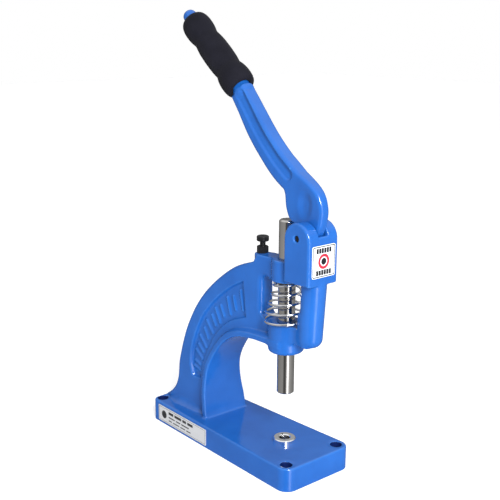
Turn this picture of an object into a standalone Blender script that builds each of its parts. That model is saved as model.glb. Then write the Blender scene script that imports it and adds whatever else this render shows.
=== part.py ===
"""Hand press for setting snaps and eyelets, built as separate named pieces.

Units are metres, +Z is up and the origin is the centre of the base underside.
The long axis runs along Y: the die stands at the -Y end, the arch rises at +Y.
"""
import math

import bmesh
import bpy
from mathutils import Matrix, Vector

MM = 0.001
GAP = 0.3

# base
BASE_LENGTH = 233.2
BASE_FRONT_WIDTH = 92.0
BASE_REAR_WIDTH = 77.0
BASE_HEIGHT = 24.6
BASE_FRONT_CORNER = 13.0
BASE_REAR_CORNER = 8.0
BASE_EDGE = 1.6
BASE_HOLE_DIA = 12.0
FRONT_HOLE_Y = -105.0
REAR_HOLE_Y = 109.0
FRONT_HOLE_X = 35.0
REAR_HOLE_X = 29.0

# ram line
RAM_Y = -65.0
RAM_DIA = 17.6
RAM_BOTTOM_Z = 79.0
RAM_TOP_Z = 258.6
RAM_TOP_CHAMFER = 1.6
RAM_SOCKET_DIA = 8.0
RAM_SOCKET_DEPTH = 18.0

# die socket in the base
SOCKET_FLANGE_DIA = 23.0
SOCKET_TOP_Z = 29.1
SOCKET_BORE_DIA = 11.0
SOCKET_STEM_DIA = 16.0
SOCKET_STEM_Z = 6.0

# head
BOX_HALF = 19.6
BOX_FRONT_Y = -114.5
BOX_REAR_Y = -80.0
BOX_BOTTOM_Z = 202.0
BOX_ROUND_Z = 245.0
SLOT_HALF = 6.3
SLOT_FLOOR_Z = 232.0
SLOT_FRONT_Z = 249.5
PIVOT_Y = -97.0
PIVOT_Z = 247.0
PIN_DIA = 6.4
PIN_HALF = 18.0
GUIDE_RADIUS = 15.5
GUIDE_BOTTOM_Z = 197.0
GUIDE_TOP_Z = 219.0
BOSS_RADIUS = 18.3
BOSS_BOTTOM_Z = 123.0
SEAT_Z = 154.0
COLUMN_TOP_RADIUS = 12.5
COLUMN_LOW_RADIUS = 11.6
COLUMN_TOP_Y = -102.9
COLUMN_TOP_Z = 200.0
COLUMN_LOW_Z = 145.0
COLUMN_LEAN = 2.8
SIDE_HALF = 9.0
WINDOW_FRONT_Y = -90.2
WALL_Y = -36.5
COLLAR_BORE_RADIUS = 13.4
COLLAR_BORE_TOP_Z = 201.8

# stop screw
STOP_Y = -28.5
STOP_BOSS_RADIUS = 8.0
STOP_BOSS_Z = 217.8
STOP_STEM_DIA = 6.0
STOP_HEAD_TOP_Z = 235.8
STOP_TIP_Z = 190.0
STOP_HOLE_Z = 184.5
NUT_ACROSS = 10.4

# collar on the ram, and the pin that holds it
COLLAR_Z = 197.05
COLLAR_RADIUS = 12.9
COLLAR_THICK = 1.8
COLLAR_PIN_RADIUS = 1.0
COLLAR_PIN_Z = COLLAR_Z + COLLAR_THICK + 0.05 + COLLAR_PIN_RADIUS
COLLAR_PIN_HALF = RAM_DIA / 2 + 2.2

# spring: a cone with a closed turn at each end, turns counted from the lower end
SPRING_WIRE = 2.5
SPRING_LOW_Z = SEAT_Z + 0.25 + SPRING_WIRE / 2
SPRING_HIGH_Z = COLLAR_Z - GAP - SPRING_WIRE / 2
SPRING_CLOSED_TURNS = 0.7
SPRING_OPEN_TURNS = 4.32
SPRING_START_DEG = -87.4
SPRING_LOW_RADIUS = 21.9
SPRING_HIGH_RADIUS = 12.6
CONE_FIRST_TURN = 0.95
CONE_LAST_TURN = 4.79

# lever
LEVER_HALF = 6.0
ARM_HALF = 8.4
ARM_MARGIN = 0.9
ARM_RECESS_DEPTH = 3.0
HUB_EYE_RADIUS = 12.0
TANG_RADIUS = 9.2
TIP_RADIUS = 7.2
GRIP_START = (5.0, 381.0)
GRIP_END = (84.0, 446.5)

# arm from the lobe to the grip: underside point, upper point
ARM_STATIONS = (
    (-74.0, 280.0, -98.5, 296.5),
    (-61.8, 290.6, -83.4, 306.6),
    (-51.0, 298.3, -72.5, 314.4),
    (-41.5, 306.2, -62.0, 322.0),
    (-32.5, 315.0, -52.0, 330.6),
    (-22.0, 325.8, -42.0, 340.2),
    (-12.1, 337.5, -32.5, 350.6),
    (-5.0, 347.5, -24.5, 359.8),
    (2.0, 357.8, -17.0, 368.4),
    (9.0, 367.2, -9.0, 377.6),
    (12.0, 371.0, -4.4, 382.4),
)

# side outline of the hub: cam face over the ram, then the front edge
HUB_CAM = (
    (-61.1, 289.8), (-63.9, 288.0), (-65.3, 283.8), (-65.6, 278.5), (-66.1, 273.0), (-67.5, 268.0),
    (-69.4, 263.4), (-72.2, 259.7), (-76.0, 257.2), (-81.0, 255.8), (-85.2, 254.0), (-86.0, 249.0),
)
HUB_FRONT = (
    (-109.2, 250.4), (-111.9, 254.6), (-114.2, 260.5), (-115.7, 267.6), (-115.6, 276.0),
    (-113.2, 284.4), (-108.4, 291.7), (-101.1, 297.6), (-91.1, 304.0), (-84.1, 308.0),
)

# badge and plate
BADGE_HALF = 15.3
BADGE_LOW_Z = 210.4
BADGE_HIGH_Z = 241.6
BADGE_CORNER = 2.0
BADGE_THICK = 0.5
PLATE_FIRST_Y = 13.0
PLATE_LAST_Y = 103.0
PLATE_LOW_Z = 3.0
PLATE_HIGH_Z = 21.4
PLATE_GAP = 0.07
PLATE_THICK = 0.55

# arch stations: throat point, outer point, throat half width, side half width
ARCH_STATIONS = (
    (28.6, 20.0, 113.8, 20.0, 29.6, 24.4),
    (29.4, 25.0, 112.0, 25.2, 29.2, 23.4),
    (30.8, 31.0, 103.5, 32.2, 28.9, 21.6),
    (32.3, 40.0, 96.6, 41.4, 28.4, 20.2),
    (34.2, 50.0, 93.0, 52.0, 27.3, 19.4),
    (35.2, 60.0, 92.0, 62.0, 26.0, 19.0),
    (35.0, 70.0, 91.3, 72.0, 24.8, 18.7),
    (33.4, 80.0, 88.6, 84.0, 23.6, 18.2),
    (29.5, 90.0, 85.4, 96.5, 22.6, 17.5),
    (23.5, 100.0, 80.3, 112.0, 21.8, 16.6),
    (15.5, 111.0, 73.4, 127.0, 21.2, 15.7),
    (6.5, 119.5, 65.0, 141.5, 20.6, 14.9),
    (-2.5, 125.0, 53.5, 156.8, 20.2, 13.9),
    (-12.0, 128.2, 39.5, 171.0, 20.0, 12.9),
    (-21.0, 129.8, 23.5, 184.3, 19.4, 11.7),
    (-30.0, 130.6, 7.5, 195.2, 18.8, 10.7),
    (-38.0, 131.0, -8.0, 203.0, 18.3, 9.8),
    (-52.0, 131.0, -20.0, 207.6, 17.6, 9.2),
)
OUTER_MARGIN = 1.3
RECESS_DEPTH = 3.2
RECESS_FIRST = 5
RECESS_LAST = 14


def clear_scene():
    for item in list(bpy.data.objects):
        bpy.data.objects.remove(item, do_unlink=True)


def make_material(name, colour, roughness, metallic):
    mat = bpy.data.materials.new(name)
    mat.use_nodes = True
    shader = mat.node_tree.nodes["Principled BSDF"]
    shader.inputs["Base Color"].default_value = (*colour, 1.0)
    shader.inputs["Roughness"].default_value = roughness
    shader.inputs["Metallic"].default_value = metallic
    return mat


def mesh_object(name, points, faces, origin=(0.0, 0.0, 0.0)):
    mesh = bpy.data.meshes.new(name)
    local = [((Vector(p) - Vector(origin)) * MM) for p in points]
    mesh.from_pydata(local, [], faces)
    bm = bmesh.new()
    bm.from_mesh(mesh)
    bmesh.ops.remove_doubles(bm, verts=bm.verts, dist=1e-7)
    bmesh.ops.recalc_face_normals(bm, faces=bm.faces)
    bm.to_mesh(mesh)
    bm.free()
    obj = bpy.data.objects.new(name, mesh)
    obj.location = Vector(origin) * MM
    bpy.context.scene.collection.objects.link(obj)
    return obj


def finish(obj, mat, degrees=32.0):
    """One material, and smooth shading with the edges over the given angle kept sharp."""
    obj.data.materials.clear()
    obj.data.materials.append(mat)
    bm = bmesh.new()
    bm.from_mesh(obj.data)
    limit = math.radians(degrees)
    for face in bm.faces:
        face.smooth = True
    for edge in bm.edges:
        if len(edge.link_faces) == 2:
            edge.smooth = edge.calc_face_angle(0.0) < limit
    bm.to_mesh(obj.data)
    bm.free()


def prism_x(name, outline, x_low, x_high, origin=(0.0, 0.0, 0.0)):
    """Solid with the given (y, z) outline between two x positions."""
    count = len(outline)
    points = [(x_low, y, z) for y, z in outline]
    points += [(x_high, y, z) for y, z in outline]
    faces = [tuple(range(count)), tuple(range(2 * count - 1, count - 1, -1))]
    for i in range(count):
        j = (i + 1) % count
        faces.append((i, j, count + j, count + i))
    return mesh_object(name, points, faces, origin)


def turned(name, profile, centre, steps=48, origin=None):
    """Solid of revolution about a vertical line; profile holds (radius, z)."""
    x0, y0 = centre
    points = []
    rings = []
    for radius, z in profile:
        if radius < 1e-6:
            rings.append([len(points)])
            points.append((x0, y0, z))
            continue
        ring = []
        for k in range(steps):
            a = 2.0 * math.pi * k / steps
            ring.append(len(points))
            points.append((x0 + radius * math.cos(a), y0 + radius * math.sin(a), z))
        rings.append(ring)
    faces = []
    total = len(rings)
    closed = len(rings[0]) > 1
    pairs = [(i, i + 1) for i in range(total - 1)]
    if closed:
        pairs.append((total - 1, 0))
    for a, b in pairs:
        ra, rb = rings[a], rings[b]
        for k in range(steps):
            n = (k + 1) % steps
            if len(ra) == 1:
                faces.append((ra[0], rb[k], rb[n]))
            elif len(rb) == 1:
                faces.append((ra[k], rb[0], ra[n]))
            else:
                faces.append((ra[k], rb[k], rb[n], ra[n]))
    return mesh_object(name, points, faces, origin or (0.0, 0.0, 0.0))


def cylinder_x(name, radius, y, z, x_low, x_high, steps=40, origin=(0.0, 0.0, 0.0)):
    outline = []
    for k in range(steps):
        a = 2.0 * math.pi * k / steps
        outline.append((y + radius * math.cos(a), z + radius * math.sin(a)))
    return prism_x(name, outline, x_low, x_high, origin)


def cylinder_z(name, radius, x, y, z_low, z_high, steps=40):
    return turned(name, [(0.0, z_low), (radius, z_low), (radius, z_high), (0.0, z_high)], (x, y), steps)


def box_solid(name, low, high):
    outline = [(low[1], low[2]), (high[1], low[2]), (high[1], high[2]), (low[1], high[2])]
    return prism_x(name, outline, low[0], high[0])


def bevel(obj, width, segments=2, degrees=40.0):
    """Round the sharp edges of a plain solid."""
    bm = bmesh.new()
    bm.from_mesh(obj.data)
    limit = math.radians(degrees)
    edges = [e for e in bm.edges if len(e.link_faces) == 2 and e.calc_face_angle(0.0) > limit]
    bmesh.ops.bevel(bm, geom=edges, offset=width * MM, segments=segments, profile=0.5, affect="EDGES")
    bmesh.ops.recalc_face_normals(bm, faces=bm.faces)
    bm.to_mesh(obj.data)
    bm.free()
    return obj


def boolean(target, other, operation):
    """Apply one boolean and remove the second solid."""
    for item in (target, other):
        bm = bmesh.new()
        bm.from_mesh(item.data)
        bmesh.ops.triangulate(bm, faces=bm.faces)
        bm.to_mesh(item.data)
        bm.free()
    mod = target.modifiers.new("cut", "BOOLEAN")
    mod.operation = operation
    mod.solver = "EXACT"
    mod.object = other
    graph = bpy.context.evaluated_depsgraph_get()
    result = bpy.data.meshes.new_from_object(target.evaluated_get(graph))
    target.modifiers.clear()
    old = target.data
    target.data = result
    bpy.data.meshes.remove(old)
    bpy.data.objects.remove(other, do_unlink=True)
    return target


def tidy_mesh(obj):
    bm = bmesh.new()
    bm.from_mesh(obj.data)
    bmesh.ops.remove_doubles(bm, verts=bm.verts, dist=1e-6)
    bmesh.ops.dissolve_degenerate(bm, dist=1e-7, edges=bm.edges)
    bmesh.ops.recalc_face_normals(bm, faces=bm.faces)
    bm.to_mesh(obj.data)
    bm.free()


# ---------------------------------------------------------------- casting


def base_half_width(y):
    t = (y + BASE_LENGTH / 2) / BASE_LENGTH
    return (BASE_FRONT_WIDTH + (BASE_REAR_WIDTH - BASE_FRONT_WIDTH) * t) / 2


def base_outline(inset):
    """Plan of the tapered base with round corners, drawn inwards by inset."""
    half = BASE_LENGTH / 2 - inset
    front = BASE_FRONT_WIDTH / 2 - inset
    rear = BASE_REAR_WIDTH / 2 - inset
    large = BASE_FRONT_CORNER - inset
    small = BASE_REAR_CORNER - inset
    centres = (
        (front - large, -half + large, large, -90.0),
        (rear - small, half - small, small, 0.0),
        (-rear + small, half - small, small, 90.0),
        (-front + large, -half + large, large, 180.0),
    )
    points = []
    for cx, cy, radius, start in centres:
        for k in range(9):
            a = math.radians(start + 90.0 * k / 8)
            points.append((cx + radius * math.cos(a), cy + radius * math.sin(a)))
    return points


def build_base():
    layers = (
        (base_outline(0.8), 0.0),
        (base_outline(0.0), 0.8),
        (base_outline(0.0), BASE_HEIGHT - BASE_EDGE),
        (base_outline(BASE_EDGE * 0.3), BASE_HEIGHT - BASE_EDGE * 0.3),
        (base_outline(BASE_EDGE), BASE_HEIGHT),
    )
    count = len(layers[0][0])
    points = []
    for outline, z in layers:
        points += [(x, y, z) for x, y in outline]
    faces = [tuple(range(count - 1, -1, -1))]
    for row in range(len(layers) - 1):
        for k in range(count):
            n = (k + 1) % count
            a = row * count
            faces.append((a + k, a + n, a + count + n, a + count + k))
    last = (len(layers) - 1) * count
    faces.append(tuple(range(last, last + count)))
    return mesh_object("base", points, faces)


def arch_section(station, depth):
    """Cross-section of the arch: flared throat flange, recessed web, rim."""
    ty, tz, oy, oz, throat_half, side_half = station
    reach = math.hypot(oy - ty, oz - tz)
    margin = OUTER_MARGIN * min(1.0, max(0.0, (oy + 20.0) / 25.0))
    oy += margin * (oy - ty) / reach
    oz += margin * (oz - tz) / reach
    reach += margin
    inner = 18.5 / reach
    outer = 1.0 - 17.0 / reach
    spots = (
        (0.0, throat_half - 1.6),
        (1.4 / reach, throat_half - 0.3),
        (3.4 / reach, throat_half),
        (6.0 / reach, throat_half - 0.8),
        (8.4 / reach, side_half + 0.25 * (throat_half - side_half)),
        (12.0 / reach, side_half),
        (inner, side_half),
        (inner + 2.0 / reach, side_half - depth),
        (outer - 2.0 / reach, side_half - depth),
        (outer, side_half),
        (1.0 - 4.0 / reach, side_half),
        (1.0 - 1.2 / reach, side_half - 1.2),
        (1.0, side_half - 4.0),
    )
    right = []
    for t, half in spots:
        right.append((half, ty + (oy - ty) * t, tz + (oz - tz) * t))
    left = [(-x, y, z) for x, y, z in reversed(right)]
    return right + left


def build_arch():
    sections = []
    for i, station in enumerate(ARCH_STATIONS):
        inside = RECESS_FIRST < i < RECESS_LAST
        sections.append(arch_section(station, RECESS_DEPTH if inside else 0.0))
    count = len(sections[0])
    points = [p for section in sections for p in section]
    faces = [tuple(range(count))]
    for row in range(len(sections) - 1):
        for k in range(count):
            n = (k + 1) % count
            a = row * count
            faces.append((a + k, a + count + k, a + count + n, a + n))
    last = (len(sections) - 1) * count
    faces.append(tuple(range(last + count - 1, last - 1, -1)))
    obj = mesh_object("arch", points, faces)
    bm = bmesh.new()
    bm.from_mesh(obj.data)
    bmesh.ops.triangulate(bm, faces=[f for f in bm.faces if len(f.verts) == 4])
    bm.to_mesh(obj.data)
    bm.free()
    return obj


def head_plate():
    """Web joining the arch end and the two ram guides."""
    lower = [(-14.0, 131.5), (-40.0, 131.5), (-66.0, 131.0), (-72.0, 131.0)]
    upper = [
        (-72.0, 218.7), (-44.0, 218.3), (-37.5, 217.6), (-31.0, 217.3),
        (-26.0, 209.4), (-18.0, 206.4), (-8.0, 201.6), (2.0, 196.0),
    ]
    obj = prism_x("plate", lower + upper, -SIDE_HALF, SIDE_HALF)
    return bevel(obj, 2.0, 2)


def spring_window():
    """Opening across the head for the return spring, round towards the arch."""
    outline = [
        (WINDOW_FRONT_Y, SEAT_Z), (WALL_Y - 4.0, SEAT_Z), (WALL_Y - 1.2, SEAT_Z + 1.2),
        (WALL_Y, SEAT_Z + 4.0), (WALL_Y, GUIDE_BOTTOM_Z - 4.0), (WALL_Y - 1.2, GUIDE_BOTTOM_Z - 1.2),
        (WALL_Y - 4.0, GUIDE_BOTTOM_Z), (WINDOW_FRONT_Y, GUIDE_BOTTOM_Z),
    ]
    return prism_x("window", outline, -30.0, 30.0)


def clevis_block():
    outline = [(BOX_REAR_Y, BOX_BOTTOM_Z)]
    centre = (BOX_FRONT_Y + BOX_REAR_Y) / 2
    radius = (BOX_REAR_Y - BOX_FRONT_Y) / 2
    for k in range(17):
        a = math.pi * k / 16
        outline.append((centre + radius * math.cos(a), BOX_ROUND_Z + radius * math.sin(a)))
    outline.append((BOX_FRONT_Y, BOX_BOTTOM_Z))
    obj = prism_x("clevis", outline, -BOX_HALF, BOX_HALF)
    return bevel(obj, 1.6, 3, 30.0)


def column_solid():
    """Round column under the fork, thinner and nearer the ram towards its foot."""
    top, low = COLUMN_TOP_RADIUS, COLUMN_LOW_RADIUS
    profile = [(0.0, 136.4), (4.0, 136.8), (8.0, 139.0), (low - 1.2, 141.6), (low, COLUMN_LOW_Z)]
    profile += [(top, COLUMN_TOP_Z), (top, 206.0), (0.0, 206.0)]
    obj = turned("column", profile, (0.0, COLUMN_TOP_Y), 40)
    for vertex in obj.data.vertices:
        down = (COLUMN_TOP_Z - vertex.co.z / MM) / (COLUMN_TOP_Z - COLUMN_LOW_Z)
        vertex.co.y += COLUMN_LEAN * min(1.0, max(0.0, down)) * MM
    return obj


def lower_boss():
    r = BOSS_RADIUS
    z = BOSS_BOTTOM_Z
    top = SEAT_Z + 0.2
    profile = [(0.0, z), (r - 2.0, z), (r - 0.6, z + 0.6), (r, z + 2.0), (r, top), (0.0, top)]
    return turned("lower_boss", profile, (0.0, RAM_Y), 56)


def upper_guide():
    r = GUIDE_RADIUS
    top = GUIDE_TOP_Z
    low = GUIDE_BOTTOM_Z - 0.2
    profile = [(0.0, low), (r - 1.0, low), (r, low + 1.0), (r, top - 1.6), (r - 1.6, top), (0.0, top)]
    return turned("guide", profile, (0.0, RAM_Y), 48)


def stop_boss():
    r = STOP_BOSS_RADIUS
    z = STOP_BOSS_Z
    profile = [(0.0, 170.0), (r, 170.0), (r, z - 1.0), (r - 1.0, z), (0.0, z)]
    return turned("stop_boss", profile, (0.0, STOP_Y), 40)


def build_casting(mat):
    body = build_base()
    for piece in (build_arch(), head_plate()):
        boolean(body, piece, "UNION")
    boolean(body, spring_window(), "DIFFERENCE")
    for piece in (lower_boss(), upper_guide(), column_solid(), clevis_block(), stop_boss()):
        boolean(body, piece, "UNION")
    bridge = box_solid("bridge", (-9.0, -98.0, 138.0), (9.0, -78.0, SEAT_Z - 1.0))
    boolean(body, bevel(bridge, 2.0), "UNION")

    ram_bore = RAM_DIA / 2 + GAP
    boolean(body, cylinder_z("c", ram_bore, 0.0, RAM_Y, 100.0, 240.0, 48), "DIFFERENCE")
    collar_bore = cylinder_z("c", COLLAR_BORE_RADIUS, 0.0, RAM_Y, 190.0, COLLAR_BORE_TOP_Z, 48)
    boolean(body, collar_bore, "DIFFERENCE")
    slot = box_solid("c", (-SLOT_HALF, -110.0, SLOT_FLOOR_Z), (SLOT_HALF, -70.0, 280.0))
    boolean(body, slot, "DIFFERENCE")
    notch = box_solid("c", (-SLOT_HALF, -125.0, SLOT_FRONT_Z), (SLOT_HALF, -100.0, 280.0))
    boolean(body, notch, "DIFFERENCE")
    pin = cylinder_x("c", PIN_DIA / 2 + 0.02, PIVOT_Y, PIVOT_Z, -30.0, 30.0, 32)
    boolean(body, pin, "DIFFERENCE")
    stem = STOP_STEM_DIA / 2 + 0.15
    boolean(body, cylinder_z("c", stem, 0.0, STOP_Y, STOP_HOLE_Z, 230.0, 32), "DIFFERENCE")
    for x, y in mounting_holes():
        boolean(body, cylinder_z("c", BASE_HOLE_DIA / 2, x, y, -5.0, 60.0, 36), "DIFFERENCE")
    socket = cylinder_z("c", SOCKET_STEM_DIA / 2 + 0.02, 0.0, RAM_Y, -5.0, 30.0, 44)
    boolean(body, socket, "DIFFERENCE")
    tidy_mesh(body)
    body.name = "frame_casting"
    return finish(body, mat)


def mounting_holes():
    return (
        (-FRONT_HOLE_X, FRONT_HOLE_Y),
        (FRONT_HOLE_X, FRONT_HOLE_Y),
        (-REAR_HOLE_X, REAR_HOLE_Y),
        (REAR_HOLE_X, REAR_HOLE_Y),
    )


# ---------------------------------------------------------------- lever

def arm_section(station, half, depth):
    """I-like section across the arm, recess on both faces."""
    uy, uz, ty, tz = station
    reach = math.hypot(ty - uy, tz - uz)
    step_y = ARM_MARGIN * (ty - uy) / reach
    step_z = ARM_MARGIN * (tz - uz) / reach
    uy, uz, ty, tz = uy - step_y, uz - step_z, ty + step_y, tz + step_z
    reach += 2 * ARM_MARGIN
    spots = (
        (0.0, half - 3.4),
        (1.1 / reach, half - 1.1),
        (3.4 / reach, half),
        (5.6 / reach, half),
        (7.4 / reach, half - depth),
        (1.0 - 7.4 / reach, half - depth),
        (1.0 - 5.6 / reach, half),
        (1.0 - 3.4 / reach, half),
        (1.0 - 1.1 / reach, half - 1.1),
        (1.0, half - 3.4),
    )
    right = [(w, uy + (ty - uy) * t, uz + (tz - uz) * t) for t, w in spots]
    left = [(-x, y, z) for x, y, z in reversed(right)]
    return right + left


def build_arm():
    last = len(ARM_STATIONS) - 1
    sections = []
    for i, station in enumerate(ARM_STATIONS):
        half = LEVER_HALF + (ARM_HALF - LEVER_HALF) * min(1.0, i / 3.0)
        sections.append(arm_section(station, half, ARM_RECESS_DEPTH if 1 < i < last else 0.0))
    count = len(sections[0])
    points = [p for section in sections for p in section]
    faces = [tuple(range(count))]
    for row in range(last):
        for k in range(count):
            n = (k + 1) % count
            a = row * count
            faces.append((a + k, a + count + k, a + count + n, a + n))
    end = last * count
    faces.append(tuple(range(end + count - 1, end - 1, -1)))
    obj = mesh_object("arm", points, faces)
    bm = bmesh.new()
    bm.from_mesh(obj.data)
    bmesh.ops.triangulate(bm, faces=[f for f in bm.faces if len(f.verts) == 4])
    bm.to_mesh(obj.data)
    bm.free()
    return obj


def lever_hub():
    """Flat cam plate: eye round the pivot, lobe over the ram, root of the arm."""
    outline = []
    for k in range(11):
        a = math.radians(180.0 + 170.0 * k / 10)
        outline.append((PIVOT_Y + HUB_EYE_RADIUS * math.cos(a), PIVOT_Z + HUB_EYE_RADIUS * math.sin(a)))
    outline += list(reversed(HUB_CAM)) + list(reversed(HUB_FRONT))
    obj = prism_x("hub", outline, -LEVER_HALF, LEVER_HALF)
    return bevel(obj, 4.2, 4, 50.0)


def grip_axis():
    start = Vector((0.0, *GRIP_START))
    end = Vector((0.0, *GRIP_END))
    return start, (end - start).normalized(), (end - start).length


def along_axis(name, profile, start, direction, steps, origin):
    """Solid of revolution about a slanted line; profile holds (radius, length)."""
    side = Vector((1.0, 0.0, 0.0))
    other = direction.cross(side).normalized()
    points = []
    rings = []
    for radius, length in profile:
        spot = start + direction * length
        if radius < 1e-6:
            rings.append([len(points)])
            points.append(tuple(spot))
            continue
        ring = []
        for k in range(steps):
            a = 2.0 * math.pi * k / steps
            ring.append(len(points))
            points.append(tuple(spot + side * radius * math.cos(a) + other * radius * math.sin(a)))
        rings.append(ring)
    faces = []
    pairs = [(i, i + 1) for i in range(len(rings) - 1)]
    if len(rings[0]) > 1:
        pairs.append((len(rings) - 1, 0))
    for a, b in pairs:
        ra, rb = rings[a], rings[b]
        for k in range(steps):
            n = (k + 1) % steps
            if len(ra) == 1:
                faces.append((ra[0], rb[k], rb[n]))
            elif len(rb) == 1:
                faces.append((ra[k], rb[0], ra[n]))
            else:
                faces.append((ra[k], rb[k], rb[n], ra[n]))
    return mesh_object(name, points, faces, origin)


def build_tang():
    start, direction, length = grip_axis()
    collar = TANG_RADIUS + 0.6
    profile = [
        (0.0, -8.0), (8.0, -7.4), (collar, -3.0), (collar, -1.5), (TANG_RADIUS, 0.0),
        (TANG_RADIUS, length - 14.0), (TIP_RADIUS, length - 6.0), (TIP_RADIUS, length + 5.0),
        (TIP_RADIUS * 0.92, length + 8.0), (TIP_RADIUS * 0.62, length + 10.6), (0.0, length + 12.0),
    ]
    return along_axis("tang", profile, start, direction, 32, (0.0, 0.0, 0.0))


def build_lever(mat):
    origin = Vector((0.0, PIVOT_Y, PIVOT_Z)) * MM
    body = lever_hub()
    boolean(body, build_arm(), "UNION")
    boolean(body, build_tang(), "UNION")
    eye = cylinder_x("c", PIN_DIA / 2 + 0.15, PIVOT_Y, PIVOT_Z, -30.0, 30.0, 32)
    boolean(body, eye, "DIFFERENCE")
    tidy_mesh(body)
    body.data.transform(Matrix.Translation(-origin))
    body.location = origin
    body.name = "hand_lever"
    return finish(body, mat)


def build_grip(mat):
    start, direction, length = grip_axis()
    inner = TANG_RADIUS + 0.05
    end = TIP_RADIUS + 0.05
    profile = [
        (inner, 0.6), (13.6, 0.4), (15.6, 2.4), (16.5, 7.0), (16.6, 14.0), (15.8, 20.0), (14.3, 25.0),
        (14.0, 27.0), (14.3, 29.0), (15.0, 36.0), (15.3, 48.0), (15.0, 60.0), (14.0, 69.0), (13.5, 72.0),
        (13.7, 74.5), (14.8, 80.0), (15.4, 88.0), (15.0, 95.0), (13.2, 100.2), (10.2, length + 0.2),
        (end, length + 0.2), (end, length - 5.9), (inner, length - 13.9),
    ]
    origin = (0.0, PIVOT_Y, PIVOT_Z)
    obj = along_axis("foam_grip", profile, start, direction, 40, origin)
    return finish(obj, mat, 40.0)


# ---------------------------------------------------------------- turned parts


def build_pin(mat):
    r = PIN_DIA / 2
    obj = cylinder_x("pivot_pin", r, PIVOT_Y, PIVOT_Z, -PIN_HALF, PIN_HALF, 32, (0.0, PIVOT_Y, PIVOT_Z))
    return finish(obj, mat)


def build_ram(mat):
    r = RAM_DIA / 2
    bore = RAM_SOCKET_DIA / 2
    low = RAM_BOTTOM_Z
    top = RAM_TOP_Z
    chamfer = RAM_TOP_CHAMFER
    profile = [
        (0.0, low + RAM_SOCKET_DEPTH), (bore, low + RAM_SOCKET_DEPTH), (bore, low), (r - 1.0, low),
        (r, low + 1.0), (r, top - chamfer), (r - chamfer, top), (0.0, top),
    ]
    obj = turned("ram", profile, (0.0, RAM_Y), 48, (0.0, RAM_Y, low))
    hole = cylinder_x("c", COLLAR_PIN_RADIUS + 0.02, RAM_Y, COLLAR_PIN_Z, -30.0, 30.0, 20)
    boolean(obj, hole, "DIFFERENCE")
    tidy_mesh(obj)
    return finish(obj, mat)


def build_collar(mat):
    inner = RAM_DIA / 2 + 0.05
    r = COLLAR_RADIUS
    z = COLLAR_Z
    top = z + COLLAR_THICK
    profile = [(inner, z), (r - 0.4, z), (r, z + 0.4), (r, top - 0.4), (r - 0.4, top), (inner, top)]
    obj = turned("spring_collar", profile, (0.0, RAM_Y), 44, (0.0, RAM_Y, z))
    return finish(obj, mat)


def build_collar_pin(mat):
    z = COLLAR_PIN_Z
    half = COLLAR_PIN_HALF
    obj = cylinder_x("collar_pin", COLLAR_PIN_RADIUS, RAM_Y, z, -half, half, 20, (0.0, RAM_Y, z))
    return finish(obj, mat)


def spring_point(turn):
    """Outward direction and centre of the wire, turns counted from the lower end."""
    rise = min(1.0, max(0.0, (turn - SPRING_CLOSED_TURNS) / SPRING_OPEN_TURNS))
    cone = min(1.0, max(0.0, (turn - CONE_FIRST_TURN) / (CONE_LAST_TURN - CONE_FIRST_TURN)))
    z = SPRING_LOW_Z + (SPRING_HIGH_Z - SPRING_LOW_Z) * rise
    radius = SPRING_LOW_RADIUS + (SPRING_HIGH_RADIUS - SPRING_LOW_RADIUS) * cone
    angle = math.radians(SPRING_START_DEG) + 2.0 * math.pi * turn
    out = Vector((math.cos(angle), math.sin(angle), 0.0))
    return out, Vector((0.0, RAM_Y, z)) + out * radius


def build_spring(mat):
    turns = SPRING_OPEN_TURNS + 2 * SPRING_CLOSED_TURNS
    steps = int(turns * 26)
    sides = 8
    wire = SPRING_WIRE / 2
    up = Vector((0.0, 0.0, 1.0))
    points = []
    for i in range(steps + 1):
        out, centre = spring_point(turns * i / steps)
        for k in range(sides):
            b = 2.0 * math.pi * k / sides
            points.append(tuple(centre + out * wire * math.cos(b) + up * wire * math.sin(b)))
    faces = [tuple(range(sides - 1, -1, -1))]
    for i in range(steps):
        a = i * sides
        for k in range(sides):
            n = (k + 1) % sides
            faces.append((a + k, a + n, a + sides + n, a + sides + k))
    faces.append(tuple(range(steps * sides, steps * sides + sides)))
    obj = mesh_object("return_spring", points, faces, (0.0, RAM_Y, SPRING_LOW_Z - wire))
    return finish(obj, mat, 50.0)


def hexagon_prism(name, across, centre, z_low, z_high, origin):
    radius = across / math.sqrt(3.0)
    points = []
    for z in (z_low, z_high):
        for k in range(6):
            a = math.radians(60.0 * k + 12.0)
            points.append((centre[0] + radius * math.cos(a), centre[1] + radius * math.sin(a), z))
    faces = [tuple(range(5, -1, -1)), tuple(range(6, 12))]
    for k in range(6):
        n = (k + 1) % 6
        faces.append((k, n, 6 + n, 6 + k))
    return mesh_object(name, points, faces, origin)


def build_stop_screw(mat):
    r = STOP_STEM_DIA / 2
    top = STOP_HEAD_TOP_Z
    profile = [
        (0.0, STOP_TIP_Z), (r - 0.8, STOP_TIP_Z), (r, STOP_TIP_Z + 1.0), (r, top - 5.3),
        (6.1, top - 5.2), (6.3, top - 4.6), (6.3, top - 0.6), (5.8, top), (0.0, top),
    ]
    obj = turned("stop_screw", profile, (0.0, STOP_Y), 36, (0.0, STOP_Y, STOP_BOSS_Z))
    return finish(obj, mat)


def build_lock_nut(mat):
    z_low = STOP_BOSS_Z + 0.1
    z_high = STOP_BOSS_Z + 7.6
    centre = (0.0, STOP_Y)
    obj = hexagon_prism("lock_nut", NUT_ACROSS, centre, z_low, z_high, (0.0, STOP_Y, z_low))
    hole = cylinder_z("c", STOP_STEM_DIA / 2 + 0.15, 0.0, STOP_Y, z_low - 5.0, z_high + 5.0, 36)
    boolean(obj, hole, "DIFFERENCE")
    tidy_mesh(obj)
    return finish(obj, mat)


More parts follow.
